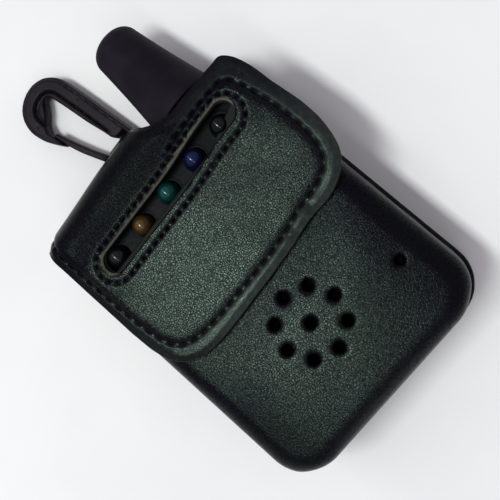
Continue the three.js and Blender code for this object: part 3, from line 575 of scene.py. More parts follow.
def lens_finish(name, rim, lit_heart, centre_x):
    """A tinted epoxy lens whose paler middle is painted light shining through it, with the ring of the cup
    seen through it.
    """
    finish = Finish(name)
    axes = finish.node("ShaderNodeSeparateXYZ", {0: finish.place})
    dx = finish.minus(axes.outputs["X"], centre_x)
    dy = finish.minus(axes.outputs["Y"], LAMP_Y)
    squares = finish.plus(finish.times(dx, dx), finish.times(dy, dy))
    radius = finish.math("SQRT", squares)
    swirl = finish.times(finish.noise(0.7, 2.0), 0.5)
    # Painted light: paler in the middle, going out to the darker tint of the rim
    colour = finish.mix(finish.spread(finish.plus(radius, swirl), 0.5, 2.5), lit_heart, rim)
    ring = finish.math("ABSOLUTE", finish.minus(radius, 1.45))
    colour = finish.mix(finish.spread(ring, 0.32, 0.1, 0.0, 0.5), colour, tuple(0.3 * c for c in rim))
    finish.set(Base_Color=colour, Roughness=finish.spread(finish.noise(2.0, 3.0), 0.3, 0.7, 0.05, 0.09))
    finish.set(Specular_IOR_Level=0.24)
    finish.bump(finish.noise(1.2, 2.0), 0.01)
    return finish.material


LEATHER = leather_finish()
LINING = lining_finish()
THREAD = thread_finish()
HOOK_PLASTIC = moulded_finish(
    "hook_nylon", (0.007, 0.005, 0.008), (0.012, 0.009, 0.013), (0.4, 0.5), 0.03, 2.2, 0.1
)
RUBBER = moulded_finish(
    "antenna_rubber", (0.008, 0.0065, 0.0105), (0.012, 0.0095, 0.015), (0.5, 0.6), 0.02, 3.5, 0.05
)
PANEL_PLASTIC = moulded_finish(
    "panel_acrylic", (0.0035, 0.0045, 0.006), (0.005, 0.0065, 0.0085), (0.34, 0.42), 0.008, 2.0, 0.03
)
STEEL = metal_finish("plated_steel", (0.56, 0.57, 0.58), carried=False)


def dress(piece, body, material, slot, nodes=()):
    """Gives a finished piece its material, hides the CAD nodes it stands for and puts it on the body it rides
    on.
    """
    piece.data.materials.append(material)
    if nodes:
        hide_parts(*nodes)
    if body:
        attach(piece, body)
    return piece


def dress_flap(piece, material, slot, nodes=()):
    """As dress, but on no body and with its place baked into its points, for the flap's pieces; the cover
    runs from the case round to the flap.
    """
    dress(piece, None, material, slot, nodes)
    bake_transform(piece)
    return piece


# ---- Pouch: one piece of moulded leather, flat in front and rolled down into its side walls
PLATEAU_X = POUCH_HIGH[0] - POUCH_ROLL
PLATEAU_Y = POUCH_LOW[1] + POUCH_ROLL
PLATEAU_CORNER = POUCH_CORNER - POUCH_ROLL
ROLL_ARC = POUCH_ROLL * math.pi / 2
WALL_HEIGHT = POUCH_FACE - POUCH_ROLL - POUCH_LOW[2]
POUCH_STEP = 0.55
WHEEL_HEIGHT = 2.8
WINDOW_HALF = 6.8
WINDOW_RADIUS = 2.0
# Round the antenna the mouth slopes down, so that it stays under the flap's corner
ANTENNA_SIDE_X = SLEEVE_LOW[0] - 0.4
ANTENNA_SIDE_Y = 36.8
ANTENNA_SIDE_Z = 22
ANTENNA_SIDE_SLOPE = 0.31


def hole_distance(x, y):
    """Distance outside the nearest of the nine sound holes and the pin hole."""
    nearest = apart(x, y, SPEAKER)
    for k in range(8):
        angle = k * math.pi / 4
        hole_x = SPEAKER[0] + SOUND_RING * math.cos(angle)
        hole_y = SPEAKER[1] + SOUND_RING * math.sin(angle)
        nearest = np.minimum(nearest, np.hypot(x - hole_x, y - hole_y))
    return np.minimum(nearest - SOUND_HOLE, apart(x, y, PIN_HOLE) - PIN_HOLE[2])


def pouch_roll(u, v):
    """Where a flat point leaves the plateau, which way it goes, and how far round and down it is."""
    past_x = np.maximum(np.abs(u) - (PLATEAU_X - PLATEAU_CORNER), 0)
    past_y = np.maximum(PLATEAU_Y + PLATEAU_CORNER - v, 0)
    length = np.hypot(past_x, past_y)
    safe = np.maximum(length, TINY)
    out_x = np.sign(u) * past_x / safe
    out_y = -past_y / safe
    gone = np.maximum(length - PLATEAU_CORNER, 0)
    return out_x, out_y, gone


def pouch_point(u, v, height):
    """The place of a flat point of the pouch, at a height above its plain outer face."""
    out_x, out_y, gone = pouch_roll(u, v)
    angle = np.minimum(gone / POUCH_ROLL, math.pi / 2)
    down = np.maximum(gone - ROLL_ARC, 0)
    radius = POUCH_ROLL + height
    x = u - out_x * gone + radius * np.sin(angle) * out_x
    y = v - out_y * gone + radius * np.sin(angle) * out_y
    z = POUCH_FACE - POUCH_ROLL + radius * np.cos(angle) - down
    return x, y, z


def pouch_relief(u, v):
    """Height of the leather's outer face over its plain moulded shape."""
    out_x, out_y, gone = pouch_roll(u, v)
    front = 1 - fade(gone, 0, 4)
    below_flap = fade(v, -5, -19)
    crown = 1.3 * front * below_flap * (1 - (u / 32) ** 2) * (1 - ((v + 20) / 34) ** 2)
    hole = np.maximum(hole_distance(u, v), 0)
    pressed = -0.35 * hump(hole, 0, 0.22) - 0.06 * hump(hole, 0, 0.8)
    pocket = -0.8 * fade(apart(u, v, KEEPER), KEEPER[2] + 0.5, KEEPER[2] - 0.1)
    waves = 0.07 * np.sin(0.23 * u + 0.6 * np.sin(0.11 * v)) * np.sin(0.19 * v + 1.1)
    lower = fade(gone, ROLL_ARC + 4, ROLL_ARC + 15)
    tuck = -0.45 * lower - 0.65 * fade(gone, 2.5, ROLL_ARC) * fade(-out_y, 0.5, 0.95)
    hem = 0.22 * hump(gone, ROLL_ARC + WALL_HEIGHT - 0.4, 0.9)
    pinch = 0.12 * lower * np.sin(0.55 * v + 0.8 * np.sin(0.2 * v)) * np.abs(out_x)
    return crown + pressed * front + pocket + waves * front + tuck + hem + pinch


def pouch_outside(u, v):
    """Above zero past the mouth and the hem, and in every hole, slot and wheel window."""
    x, y, z = pouch_point(u, v, np.zeros(np.shape(u)))
    _, _, gone = pouch_roll(u, v)
    mouth_radius = TOP_ROLL - STRAP_PLY - 0.3
    high = np.clip(z - TOP_ROLL_Z, 0, mouth_radius)
    mouth = y - TOP_ROLL_Y - np.sqrt(mouth_radius**2 - high**2)
    antenna_side = y - ANTENNA_SIDE_Y - ANTENNA_SIDE_SLOPE * (ANTENNA_SIDE_Z - z)
    mouth = np.where(x > ANTENNA_SIDE_X, np.maximum(mouth, antenna_side), mouth)
    out = np.maximum(mouth, gone - ROLL_ARC - WALL_HEIGHT)
    out = np.maximum(out, -np.minimum(hole_distance(u, v), slot_distance(u, v, POUCH_SLOT)))
    for wheel in ("volume_wheel", "tuning_wheel"):
        low, high_corner = node_box(wheel)
        middle_y = (low[1] + high_corner[1]) / 2
        middle_z = low[2] + WHEEL_HEIGHT / 2
        window = (middle_y - WINDOW_HALF, middle_y + WINDOW_HALF, middle_z, WINDOW_RADIUS, 0.0)
        out = np.maximum(out, np.where(u > PLATEAU_X, -slot_distance(y, z, window), -1))
    return out


def make_pouch():
    reach = ROLL_ARC + WALL_HEIGHT + 1
    low = (-PLATEAU_X - reach, PLATEAU_Y - reach)
    high = (PLATEAU_X + reach, POUCH_HIGH[1] + 1)
    grid = trimmed_grid(low, high, POUCH_STEP, pouch_outside)

    def outer(u, v):
        return pouch_point(u, v, pouch_relief(u, v))

    def inner(u, v):
        pocket = fade(apart(u, v, KEEPER), KEEPER[2] + 1.4, KEEPER[2] + 0.4)
        return pouch_point(u, v, -WALL - 0.1 * pocket)

    # Lighter along the foot of the wall: wear, and also painted reflection of the white floor
    def hem_wear_and_floor_reflection(u, v):
        _, _, gone = pouch_roll(u, v)
        return fade(gone, ROLL_ARC + WALL_HEIGHT - 2.2, ROLL_ARC + WALL_HEIGHT - 0.6)

    # Painted shade on the walls of the sound holes and the pin hole
    def pit_shade_mark(u, v):
        return fade(hole_distance(u, v), 0.14, 0.02)

    # Painted shade by lower gloss: at both sides of the pouch and just below the flap's edge
    def gloss_shade_mark(u, v):
        sides = np.maximum(0.75 * fade(u, 15, 27), 0.55 * fade(u, -14, -26))
        return np.maximum(sides, 0.6 * fade(v, -17, -4))

    marks = {"band": hem_wear_and_floor_reflection, "pit": pit_shade_mark, "dull": gloss_shade_mark}
    piece = two_sided("pouch_front", grid, outer, inner, marks=marks)
    return dress(piece, "case", LEATHER, "leather", ["pouch_shell"])


# ---- Back panel: flat leather with a raw edge
def rounded_edge(distance, radius):
    """How much lower a face is near its edge, for an edge rounded by the radius."""
    near = np.clip(radius + distance, 0, radius)
    return radius - np.sqrt(radius**2 - near**2)


def slab(name, outline, low, high, step, edge_radius, relief=None, holes=None, body="case", **looks):
    """A flat piece with rounded edges. The outline runs anticlockwise; relief adds to the top face."""

    def outside(u, v):
        d = outline_distance(u, v, outline)
        return d if holes is None else np.maximum(d, holes(u, v))

    grid = grid_round(outline, step, outside)

    def top(u, v):
        d = outside(u, v)
        extra = 0 if relief is None else relief(u, v, d)
        return u, v, high - rounded_edge(d, edge_radius) + extra

    def bottom(u, v):
        return u, v, low + rounded_edge(outside(u, v), edge_radius)

    piece = two_sided(name, grid, top, bottom, rim_steps=3, bulge=0.12)
    return dress(piece, body, **looks)


def arc(x, y, radius, start, end, parts=10):
    turn = np.radians(np.linspace(start, end, parts))
    return np.stack([x + radius * np.cos(turn), y + radius * np.sin(turn)], 1)


def make_back_panel():
    low, high = BACK_LOW, BACK_HIGH
    left_corner = 9
    right_corner = 10.5
    top_cut = 3
    outline = np.vstack([
        [[low[0], high[1]]],
        arc(low[0] + left_corner, low[1] + left_corner, left_corner, 180, 270),
        arc(high[0] - right_corner, low[1] + right_corner, right_corner, 270, 360),
        [[high[0], high[1] - top_cut], [high[0] - top_cut, high[1]]],
    ])

    def rough_cut(u, v, d):
        return 0.12 * np.sin(1.9 * (u + v) + np.sin(2.7 * v)) * hump(d, 0, 0.8)

    return slab(
        "back_panel_leather", outline, low[2], high[2], 0.7, 0.45, rough_cut,
        material=LEATHER, slot="leather", nodes=["back_panel"],
    )


# ---- Flap: the cover leather runs from the back of the case, over the top edge and down over the lamps
COVER_STEP = 0.36
DEEPEST = -0.98
PROUDEST = 0.58


def cover_outline():
    """The cover laid out flat, as (x, s): s is y on the flap and then goes on round the top edge."""
    left = FLAP_LOW[0] - 0.2
    lower_edge = curve_through([
        (left, 11), (-29.9, 4), (-28.0, -1.2), (-23.6, -4.9), (-17.2, -6.2), (-5.7, -6.0), (8.5, -5.3),
        (18, -4.3), (25.3, -4.4), (30.8, -2.5), (34.3, 0.9), (36.3, 7), (36.8, 13), (36.5, 18), (36.1, 22.5),
        (35.9, 27.5), (35.2, 31.5), (34.2, 33.9), (32.8, 35.4), (30.4, 35.6), (27, 35.9), (NOTCH[0], 36.3),
    ])
    rest = [(NOTCH[0], STRAP_END), (left, STRAP_END)]
    return np.vstack([lower_edge, rest])


def edge_stitch_line():
    return curve_through([
        (-27.9, STRAP_END - 3), (-27.9, 45), (-27.9, 30), (-27.7, 22), (-27.5, 15.7), (-26.6, 6.1),
        (-25, 1.6), (-21.8, -1.0), (-15.6, -2.3), (-8.1, -2.6), (7.2, -2.5), (17.7, -1.2), (24.8, -0.7),
        (29.6, 1.2), (31.9, 5), (32.8, 11), (32.6, 18.1), (31.6, 25.4), (30.7, 29.0), (29.2, 31.4),
        (25.5, 32.0), (19, 32.2), (13, 31.9), (8, 31.3),
    ])


def cover_point(x, s, height):
    """The place of a flat point of the cover, at a height above its plain outer face."""
    angle = np.clip((s - TOP_ROLL_Y) / TOP_ROLL, 0, math.pi / 2)
    down = np.maximum(s - TOP_ROLL_Y - QUARTER_ARC, 0)
    radius = TOP_ROLL + height
    y = np.where(s < TOP_ROLL_Y, s, TOP_ROLL_Y + radius * np.sin(angle))
    z = TOP_ROLL_Z + radius * np.cos(angle) - down
    return x, y, z


COVER_OUTLINE = cover_outline()
EDGE_STITCHES = edge_stitch_line()
SLOT_STITCHES = slot_line(SLOT_STITCH)
STITCHED_AREA = np.vstack([
    EDGE_STITCHES[:-8],
    [(16, 33.0), (11, 37.0), (7, 41.0), (4.0, 45), (4.0, STRAP_END + 5), (-27.9, STRAP_END + 5)],
])


def cover_outside(x, s):
    """Above zero past the cover's edge, in its slot, round the antenna and where the hook's tab comes out."""
    flat_x, y, _ = cover_point(x, s, np.zeros(np.shape(x)))
    out = outline_distance(x, s, COVER_OUTLINE)
    notch = NOTCH[2] - apart(flat_x, y, NOTCH)
    notch = np.where(x < NOTCH[0], notch, -5)
    out = np.maximum(out, notch)
    out = np.maximum(out, -slot_distance(x, s, FLAP_SLOT))
    from_tab = np.abs(x - (TAB_LOW[0] + TAB_HIGH[0]) / 2) - (TAB_HIGH[0] - TAB_LOW[0]) / 2
    tab_room = np.maximum(from_tab - 0.3, STRAP_END - 2.7 - s)
    return np.maximum(out, -tab_room)


def flap_sag(x, s):
    """How the whole flap, lining and all, follows the pouch under it."""
    left = -0.55 * fade(x, -26, FLAP_LOW[0])
    right = (0.2 * fade(x, 20, 32) - 0.3 * fade(x, 34, FLAP_HIGH[0])) * fade(s, 38, 30)
    ripple = 0.16 * np.sin(0.42 * x + 0.9) * fade(s, 6, -6) * fade(x, 4, 14)
    strap = -0.9 * fade(x, -5, -29) * fade(s, TOP_ROLL_Y + 2, TOP_ROLL_Y + 9)
    return left + right + ripple + strap


def stitch_relief(x, s, line, stitch):
    """A sunken seam and the deeper pit at each stitch, both from 0 to 1."""
    pitch, length = stitch
    away, along = line_distance(x, s, line)
    phase = (along / pitch - np.floor(along / pitch) - 0.5) * pitch
    past = np.maximum(np.abs(phase) - 0.3 * length, 0)
    seam = hump(away, 0, 0.55)
    pit = hump(away, 0, 0.31) * hump(past, 0, 0.24)
    return seam, pit


def cover_stitches(x, s):
    """The sunken seams along both stitch lines, and the pits of each line."""
    edge_seam, edge_pit = stitch_relief(x, s, EDGE_STITCHES, EDGE_STITCH_SIZE)
    slot_seam, slot_pit = stitch_relief(x, s, SLOT_STITCHES, SLOT_STITCH_SIZE)
    return np.maximum(edge_seam, slot_seam), edge_pit, slot_pit


def cover_relief(x, s):
    """Height of the cover's outer face over its plain shape."""
    edge = -cover_outside(x, s)
    slot = slot_distance(x, s, FLAP_SLOT)
    seam, edge_pit, slot_pit = cover_stitches(x, s)
    seams = -0.26 * seam - 0.7 * np.maximum(edge_pit, slot_pit)
    inside = -outline_distance(x, s, STITCHED_AREA)
    on_flap = fade(s, 42, 34)
    puff = 0.36 * fade(inside, 0, 2.2) * (1 - 0.35 * fade(inside, 3, 12)) * (0.4 + 0.6 * on_flap)
    turned = -0.5 * fade(edge, 1.5, 0.0) * fade(slot, 1.0, 3.0)
    near_side = fade(s, 27, 24.5)
    lip = (0.04 + 0.2 * near_side) * hump(slot, 0.95, 0.75) - 0.85 * fade(slot, 0.5, 0.0)
    border = 0.38 * fade(slot, 7.5, 1.3)
    kinks = -0.35 * hump(x, 12.5, 1.1) * fade(s, 0.0, -4.5) - 0.3 * hump(x, 20.5, 0.9) * fade(s, 1.0, -4.0)
    soft = 0.05 * np.sin(0.31 * x + 0.2 * s) * np.sin(0.27 * s + 0.5)
    total = seams + 0.6 * puff + turned + lip + border + kinks + soft
    return np.clip(total, DEEPEST, PROUDEST)


def cover_outer(x, s):
    return cover_point(x, s, cover_relief(x, s) + flap_sag(x, s))


def cover_inner(x, s):
    ply = FLAP_PLY + (STRAP_PLY - FLAP_PLY) * fade(s, 34.6, 36.2)
    return cover_point(x, s, -ply + flap_sag(x, s))


def outside_stitches(x, s):
    """1 on the band between the edge stitches and the edge."""
    inside = -outline_distance(x, s, STITCHED_AREA)
    return fade(inside, 0.2, -0.8)


def make_cover():
    grid = grid_round(COVER_OUTLINE, COVER_STEP, cover_outside)

    # Lighter outside the stitches: wear, and also painted sheen, stronger on the lower flap and towards the
    # middle, where the light falls
    def band_wear_and_sheen(x, s):
        lower = 0.3 + 0.7 * fade(s, 26, 8)
        return outside_stitches(x, s) * fade(s, 38, 33) * lower * (0.3 + 0.7 * fade(x, -24, -12))

    def raw_mark(x, s):
        slot = slot_distance(x, s, FLAP_SLOT)
        far = np.maximum(fade(s, 24.2, 26.5), fade(x, -20.5, -21.5) * fade(s, 22.0, 23.5))
        ragged = 0.14 * np.sin(2.3 * x + 1.7 * np.sin(0.9 * x)) * np.sin(1.1 * x + s)
        return fade(slot + ragged, 0.42, 0.22) * far

    # Painted shade in the stitch pits
    def pit_shade_mark(x, s):
        _, edge_pit, slot_pit = cover_stitches(x, s)
        return fade(np.maximum(edge_pit, 0.7 * slot_pit), 0.3, 0.85) * 0.9

    # Painted shade by lower gloss: on the strap above the slot and on the upper part of the band
    def gloss_shade_mark(x, s):
        return np.maximum(fade(s, 27.5, 31), 0.7 * outside_stitches(x, s) * fade(s, 2, 18))

    marks = {"band": band_wear_and_sheen, "raw": raw_mark, "pit": pit_shade_mark, "dull": gloss_shade_mark}
    piece = two_sided("flap_cover", grid, cover_outer, cover_inner, marks=marks)
    return dress_flap(piece, LEATHER, "leather", ["flap_leather", "flap_strap"])


def make_lining():
    lining_top = LINING_HIGH[1] - 1.5

    def outside(x, s):
        out = np.maximum(outline_distance(x, s, COVER_OUTLINE) + 0.6, s - lining_top)
        slot = slot_distance(x, s, LINING_SLOT)
        closed_end = s - 23.6 - 0.28 * np.maximum(x - 15, 0)
        out = np.maximum(out, -np.maximum(slot, -closed_end))
        return np.maximum(out, KEEPER[2] - apart(x, s, KEEPER))

    grid = trimmed_grid(COVER_OUTLINE.min(axis=0), (FLAP_HIGH[0], LINING_HIGH[1]), 0.45, outside)

    def outer(x, s):
        rolled = 0.25 * rounded_edge(outside(x, s), 0.6)
        return x, s, LINING_HIGH[2] + flap_sag(x, s) - rolled

    def inner(x, s):
        return x, s, LINING_LOW[2] + flap_sag(x, s)

    piece = two_sided("flap_lining_leather", grid, outer, inner, rim_steps=3)
    return dress_flap(piece, LINING, "lining", ["flap_lining"])


def capsule(centre, along, up, length, width, height, parts=8):
    """Points and faces of one stitch: a short round-ended thread."""
    side = np.cross(up, along)
    stations = [-0.86, -0.6, 0.0, 0.6, 0.86]
    points = [centre - length / 2 * along]
    for station in stations:
        girth = math.sqrt(1 - station**2) ** 0.6
        for k in range(parts):
            angle = 2 * math.pi * k / parts
            offset = girth * (width / 2 * math.cos(angle) * side + height / 2 * math.sin(angle) * up)
            points.append(centre + station * length / 2 * along + offset)
    points.append(centre + length / 2 * along)
    tip = len(points) - 1
    faces = [[0, 1 + (k + 1) % parts, 1 + k] for k in range(parts)]
    for ring in range(len(stations)):
        for k in range(parts):
            a = 1 + ring * parts + k
            b = 1 + ring * parts + (k + 1) % parts
            last = ring == len(stations) - 1
            faces.append([a, b, tip] if last else [a, b, b + parts, a + parts])
    return points, faces


def make_thread(name, line, stitch):
    """One thread along a stitch line: a stitch in every pit."""
    pitch, stitch_length = stitch
    width = 0.55
    thickness = 0.4
    length = np.concatenate([[0], np.cumsum(np.hypot(*np.diff(line, axis=0).T))])
    points = []
    faces = []
    for k in range(int(length[-1] / pitch)):
        at = (k + 0.5) * pitch
        around = [at - 0.4, at + 0.4]
        x = np.interp(around, length, line[:, 0])
        s = np.interp(around, length, line[:, 1])
        x = np.array([(x[0] + x[1]) / 2, x[0], x[1]])
        s = np.array([(s[0] + s[1]) / 2, s[0], s[1]])
        height = flap_sag(x, s) + THREAD_DEPTH
        spots = np.array(cover_point(x, s, height)).T
        above = np.array(cover_point(x, s, height + 1)).T
        along = spots[2] - spots[1]
        along /= np.linalg.norm(along)
        more, sides = capsule(spots[0], along, above[0] - spots[0], stitch_length + 0.2, width, thickness)
        faces += [[p + len(points) for p in face] for face in sides]
        points += more
    return dress_flap(mesh_piece(name, points, faces), THREAD, "leather")


# ---- Lamps and their panel
LEAD_SPACING = 2.54


def lamp_centre(node):
    """The x and y of a lamp's axis."""
    low, high = node_box(node)
    return (low[0] + high[0]) / 2, (low[1] + high[1]) / 2


def make_lamp(node, finish):
    """A lens with its flange, and two wire leads under it."""
    low, high = node_box(node)
    x, y = lamp_centre(node)
    flange = 16.8
    flange_radius = 2.9
    flange_top = flange + 0.8
    dome = 2.5
    profile = [
        (0, flange), (flange_radius, flange), (flange_radius, flange_top), (dome, flange + 1.0),
        (dome, high[2] - dome),
    ]
    line = rounded_profile(profile, 0.15)
    line += [(dome * along, high[2] - dome + dome * up) for along, up in quarter_turn(12)]
    line[-1] = (0, high[2])
    lens = lathe(f"{node}_lens", line, (x, y, 0), "Z", sides=48)
    dress(lens, "case", finish, node.replace("lamp", "lens"), [node])
    lead_radius = 0.25
    lead_top = flange - 0.02
    wire = rounded_profile([(0, low[2]), (lead_radius, low[2]), (lead_radius, lead_top), (0, lead_top)], 0.08)
    for mark, side in (("a", -LEAD_SPACING / 2), ("b", LEAD_SPACING / 2)):
        lead = lathe(f"{node}_lead_{mark}", wire, (x + side, y, 0), "Z", sides=12)
        dress(lead, "case", STEEL, "steel")


def make_lamp_panel():
    """The strip behind the lamps, with a shallow bezel round each."""
    half_height = (PANEL_HIGH[1] - PANEL_LOW[1]) / 2
    middle_y = (PANEL_LOW[1] + PANEL_HIGH[1]) / 2
    outline = slot_line((PANEL_LOW[0], PANEL_HIGH[0], middle_y, half_height, 0.0))[:-1]
    centres = [lamp_centre(node) for node in LAMP_TINTS_AND_LIT_HEARTS]
    hole = 2.62

    def nearest_lamp(u, v):
        return np.min([np.hypot(u - x, v - y) for x, y in centres], axis=0)

    def holes(u, v):
        return hole - nearest_lamp(u, v)

    def bezels(u, v, _):
        away = nearest_lamp(u, v)
        return 0.05 * fade(away, 3.6, 3.3) - 0.06 * hump(away, hole, 0.25)

    return slab(
        "lamp_panel_plate", outline, PANEL_LOW[2], PANEL_HIGH[2], 0.25, 0.1, bezels, holes,
        material=PANEL_PLASTIC, slot="panel_plastic", nodes=["lamp_panel"],
    )


# ---- Snap hook, its gate and its leather tab
HOOK_OUTER_SIDE = [
    (2.9, 50), (2.35, 56.5), (1.8, 64), (1.1, 71.5), (0.4, 75.4), (-1.9, 78.5), (-5.4, 80.0), (-8.9, 79.9),
    (-12.2, 78.5), (-14.5, 75.9), (-15.5, 72.6), (-15.3, 69.6), (-14.5, 66.9), (-12.9, 63.5),
]
HOOK_INNER_SIDE = [
    (-12.7, 68.4), (-11.4, 70.6), (-9.2, 72.4), (-7.4, 74.5), (-6.2, 75.2), (-5.0, 74.6), (-4.5, 72.4),
    (-4.0, 68.5), (-3.3, 62), (-2.5, 57.0),
]


def hook_outline():
    foot = HOOK_LOW[1]
    return np.vstack([
        [(3.0, foot), (3.0, 48.5)],
        curve_through(HOOK_OUTER_SIDE),
        [(-12.4, 62.7), (-12.1, 63.2), (-12.4, 65.6)],
        curve_through(HOOK_INNER_SIDE),
        [(-2.0, 53.6), (-1.2, 52.2), (0.0, 51.9), (1.8, 51.9), (1.8, foot)],
    ])


def make_hook():
    low, high = HOOK_LOW[2], HOOK_HIGH[2]
    outer_side = curve_through(HOOK_OUTER_SIDE)

    def flange(u, v, _):
        """The outer band stands above a thin inner flange, with a dark groove between them."""
        away, _ = line_distance(u, v, outer_side)
        along = fade(v, 53.6, 56.0)
        step = -0.55 * fade(away, 3.5, 3.8)
        groove = -0.7 * hump(away, 3.75, 0.28)
        edge_line = -0.18 * hump(away, 0.75, 0.16)
        nose_ribs = -0.3 * hump(away, 4.6, 0.2) * fade(u, -6.5, -9.0)
        nose_dimple = -0.3 * hump(apart(u, v, (-12.9, 71.5)), 0, 0.4)
        side_dimple = -0.25 * hump(apart(u, v, (0.2, 67)), 0, 0.35)
        return (step + groove + nose_ribs) * along + edge_line + (nose_dimple + side_dimple)

    looks = {"body": "hook", "material": HOOK_PLASTIC, "slot": "hook_plastic"}
    slab("snap_hook_body", hook_outline(), low, high, 0.24, 0.45, flange, nodes=["hook_body"], **looks)
    foot = HOOK_LOW[1]
    leg_top = GATE_LOW[1] - 0.3
    leg_left = HOOK_LOW[0] + 7.3
    leg_right = HOOK_LOW[0] + 9.4
    leg = np.array([(leg_left, foot), (leg_right, foot), (leg_right, leg_top), (leg_left, leg_top)])
    slab("snap_hook_leg", leg, low, high, 0.2, 0.3, **looks)
    bar_radius = 1.4
    reach = 8.2
    bar_start = Vector((-6.3, BAR_Y, (low + high) / 2))
    profile = rounded_profile([(0, 0), (bar_radius, 0), (bar_radius, reach), (0, reach)], 0.3)
    bar = lathe("snap_hook_bar", profile, (0, 0, 0), "Z", sides=32)
    bar.data.transform(Matrix.Rotation(math.pi / 2, 4, "Y"))
    bar.data.transform(Matrix.Translation(bar_start * MM))
    dress(bar, "hook", HOOK_PLASTIC, "hook_plastic")


def make_gate():
    root = GATE_LOW[1]
    tip = GATE_HIGH[1]
    outer_side = curve_through([(-8.2, root), (-9.5, 54.3), (-10.8, 58.2), (-11.7, 62.3), (-12.3, tip)])
    inner_side = curve_through([(-6.5, root + 0.3), (-8.2, 55.3), (-9.4, 59.2), (-10.5, 63.0), (-11.3, tip)])
    outline = np.vstack([[(-7.2, root)], inner_side, outer_side[::-1]])

    def heel(_u, v, _d):
        return 0.3 * fade(v, root + 1.5, root)

    piece = slab(
        "snap_hook_gate", outline, GATE_LOW[2], GATE_HIGH[2], 0.2, 0.35, heel, body=None,
        material=HOOK_PLASTIC, slot="hook_plastic", nodes=["hook_gate"],
    )
    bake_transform(piece)
    return piece


def make_tab():
    """A leather strip folded round the bar; its two ends go in under the strap."""
    bore = 1.7
    outer_radius = (TAB_HIGH[2] - TAB_LOW[2]) / 2
    half = (TAB_HIGH[0] - TAB_LOW[0]) / 2
    middle_x = (TAB_HIGH[0] + TAB_LOW[0]) / 2
    outline = np.vstack([
        [(TAB_LOW[1], 2.2), (BAR_Y - 3.2, 1.6)],
        arc(BAR_Y, BAR_Z, outer_radius, -125, 125, 30),
        [(BAR_Y - 3.4, 4.5), (TAB_LOW[1], 4.4)],
    ])

    def outside(y, z):
        return np.maximum(outline_distance(y, z, outline), bore - np.hypot(y - BAR_Y, z - BAR_Z))

    grid = grid_round(outline, 0.2, outside)

    def right(y, z):
        return middle_x + half - rounded_edge(outside(y, z), 0.35), y, z

    def left(y, z):
        return middle_x - half + rounded_edge(outside(y, z), 0.35), y, z

    piece = two_sided("hook_tab_leather", grid, right, left, rim_steps=12, bulge=0.03)
    return dress(piece, "case", LEATHER, "leather", ["hook_tab"])


# ---- Antenna: a hollow rubber sleeve, a little waisted, with a soft flat tip
def make_antenna():
    base = SLEEVE_LOW[1]
    tip = SLEEVE_HIGH[1]
    base_radius = (SLEEVE_HIGH[0] - SLEEVE_LOW[0]) / 2
    tip_radius = 6.7
    tip_round = 4.0
    bore = 5.2
    bore_end = 59.0
    corners = [(0, bore_end), (bore, bore_end), (bore, base), (base_radius, base), (base_radius, base + 1)]
    line = rounded_profile(corners, 0.4)
    steps = 24
    shoulder = tip - tip_round
    for step in range(1, steps + 1):
        t = step / steps
        taper = base_radius + (tip_radius - base_radius) * t
        line.append((taper - 0.18 * math.sin(math.pi * t), base + 1 + (shoulder - base - 1) * t))
    crown = 0.25
    for along, up in quarter_turn(14):
        line.append((tip_radius - tip_round * (1 - along), shoulder + (tip_round - crown) * up))
    flat = tip_radius - tip_round
    for step in range(1, 6):
        t = step / 5
        line.append((flat * (1 - t), tip - crown + crown * t * (2 - t)))
    line[-1] = (0, tip)
    piece = lathe("antenna_rubber_sleeve", line, (ANTENNA_X, 0, ANTENNA_Z), "Y", sides=96)
    return dress(piece, "case", RUBBER, "antenna_rubber", ["antenna_sleeve"])


# ---- The radio's own parts keep their CAD shapes and get their finishes here
CARRIED_METALS = {
    "steel": ("steel_parts", (0.55, 0.56, 0.57)),
    "magnet": ("nickel_plating", (0.40, 0.41, 0.42), (0.25, 0.4)),
    "brass": ("turned_brass", (0.60, 0.44, 0.18)),
    "copper": ("enamelled_wire", (0.55, 0.24, 0.10)),
}
# Name, dark and light colour and roughness; then, where not as usual, grain depth, grain scale and shine
CARRIED_PLASTICS = {
    "case_plastic": (
        "case_abs", (0.001, 0.001, 0.0013), (0.002, 0.002, 0.0026), (0.65, 0.8), 0.012, 3.0, 0.015,
    ),
    "board": ("solder_mask", (0.012, 0.07, 0.032), (0.02, 0.10, 0.05), (0.3, 0.4)),
    "component": ("epoxy_body", (0.010, 0.010, 0.011), (0.018, 0.018, 0.02), (0.5, 0.62)),
    "ferrite": ("sintered_ferrite", (0.03, 0.03, 0.032), (0.05, 0.05, 0.054), (0.55, 0.75), 0.03, 6.0),
    "cone_paper": ("pressed_paper", (0.02, 0.02, 0.02), (0.035, 0.034, 0.032), (0.8, 0.92), 0.06, 4.0),
    "cell_jacket": ("cell_sleeve", (0.13, 0.17, 0.22), (0.16, 0.2, 0.26), (0.25, 0.35)),
    "leather": ("plain_leather", LEATHER_BLACK, LEATHER_GREEN, (0.4, 0.6), 0.05, 2.0),
}


def dress_carried_nodes():
    """One finish for each material slot, given to every CAD node that still shows."""
    finishes = {slot: metal_finish(*looks) for slot, looks in CARRIED_METALS.items()}
    finishes.update({slot: moulded_finish(*looks, carried=True) for slot, looks in CARRIED_PLASTICS.items()})
    slots = {part["node"]: part["material_slot"] for part in frame["record"]["subparts"]}
    for node, part in frame["nodes"].items():
        if part.hide_render:
            continue
        part.data.materials.clear()
        part.data.materials.append(finishes[slots[node]])


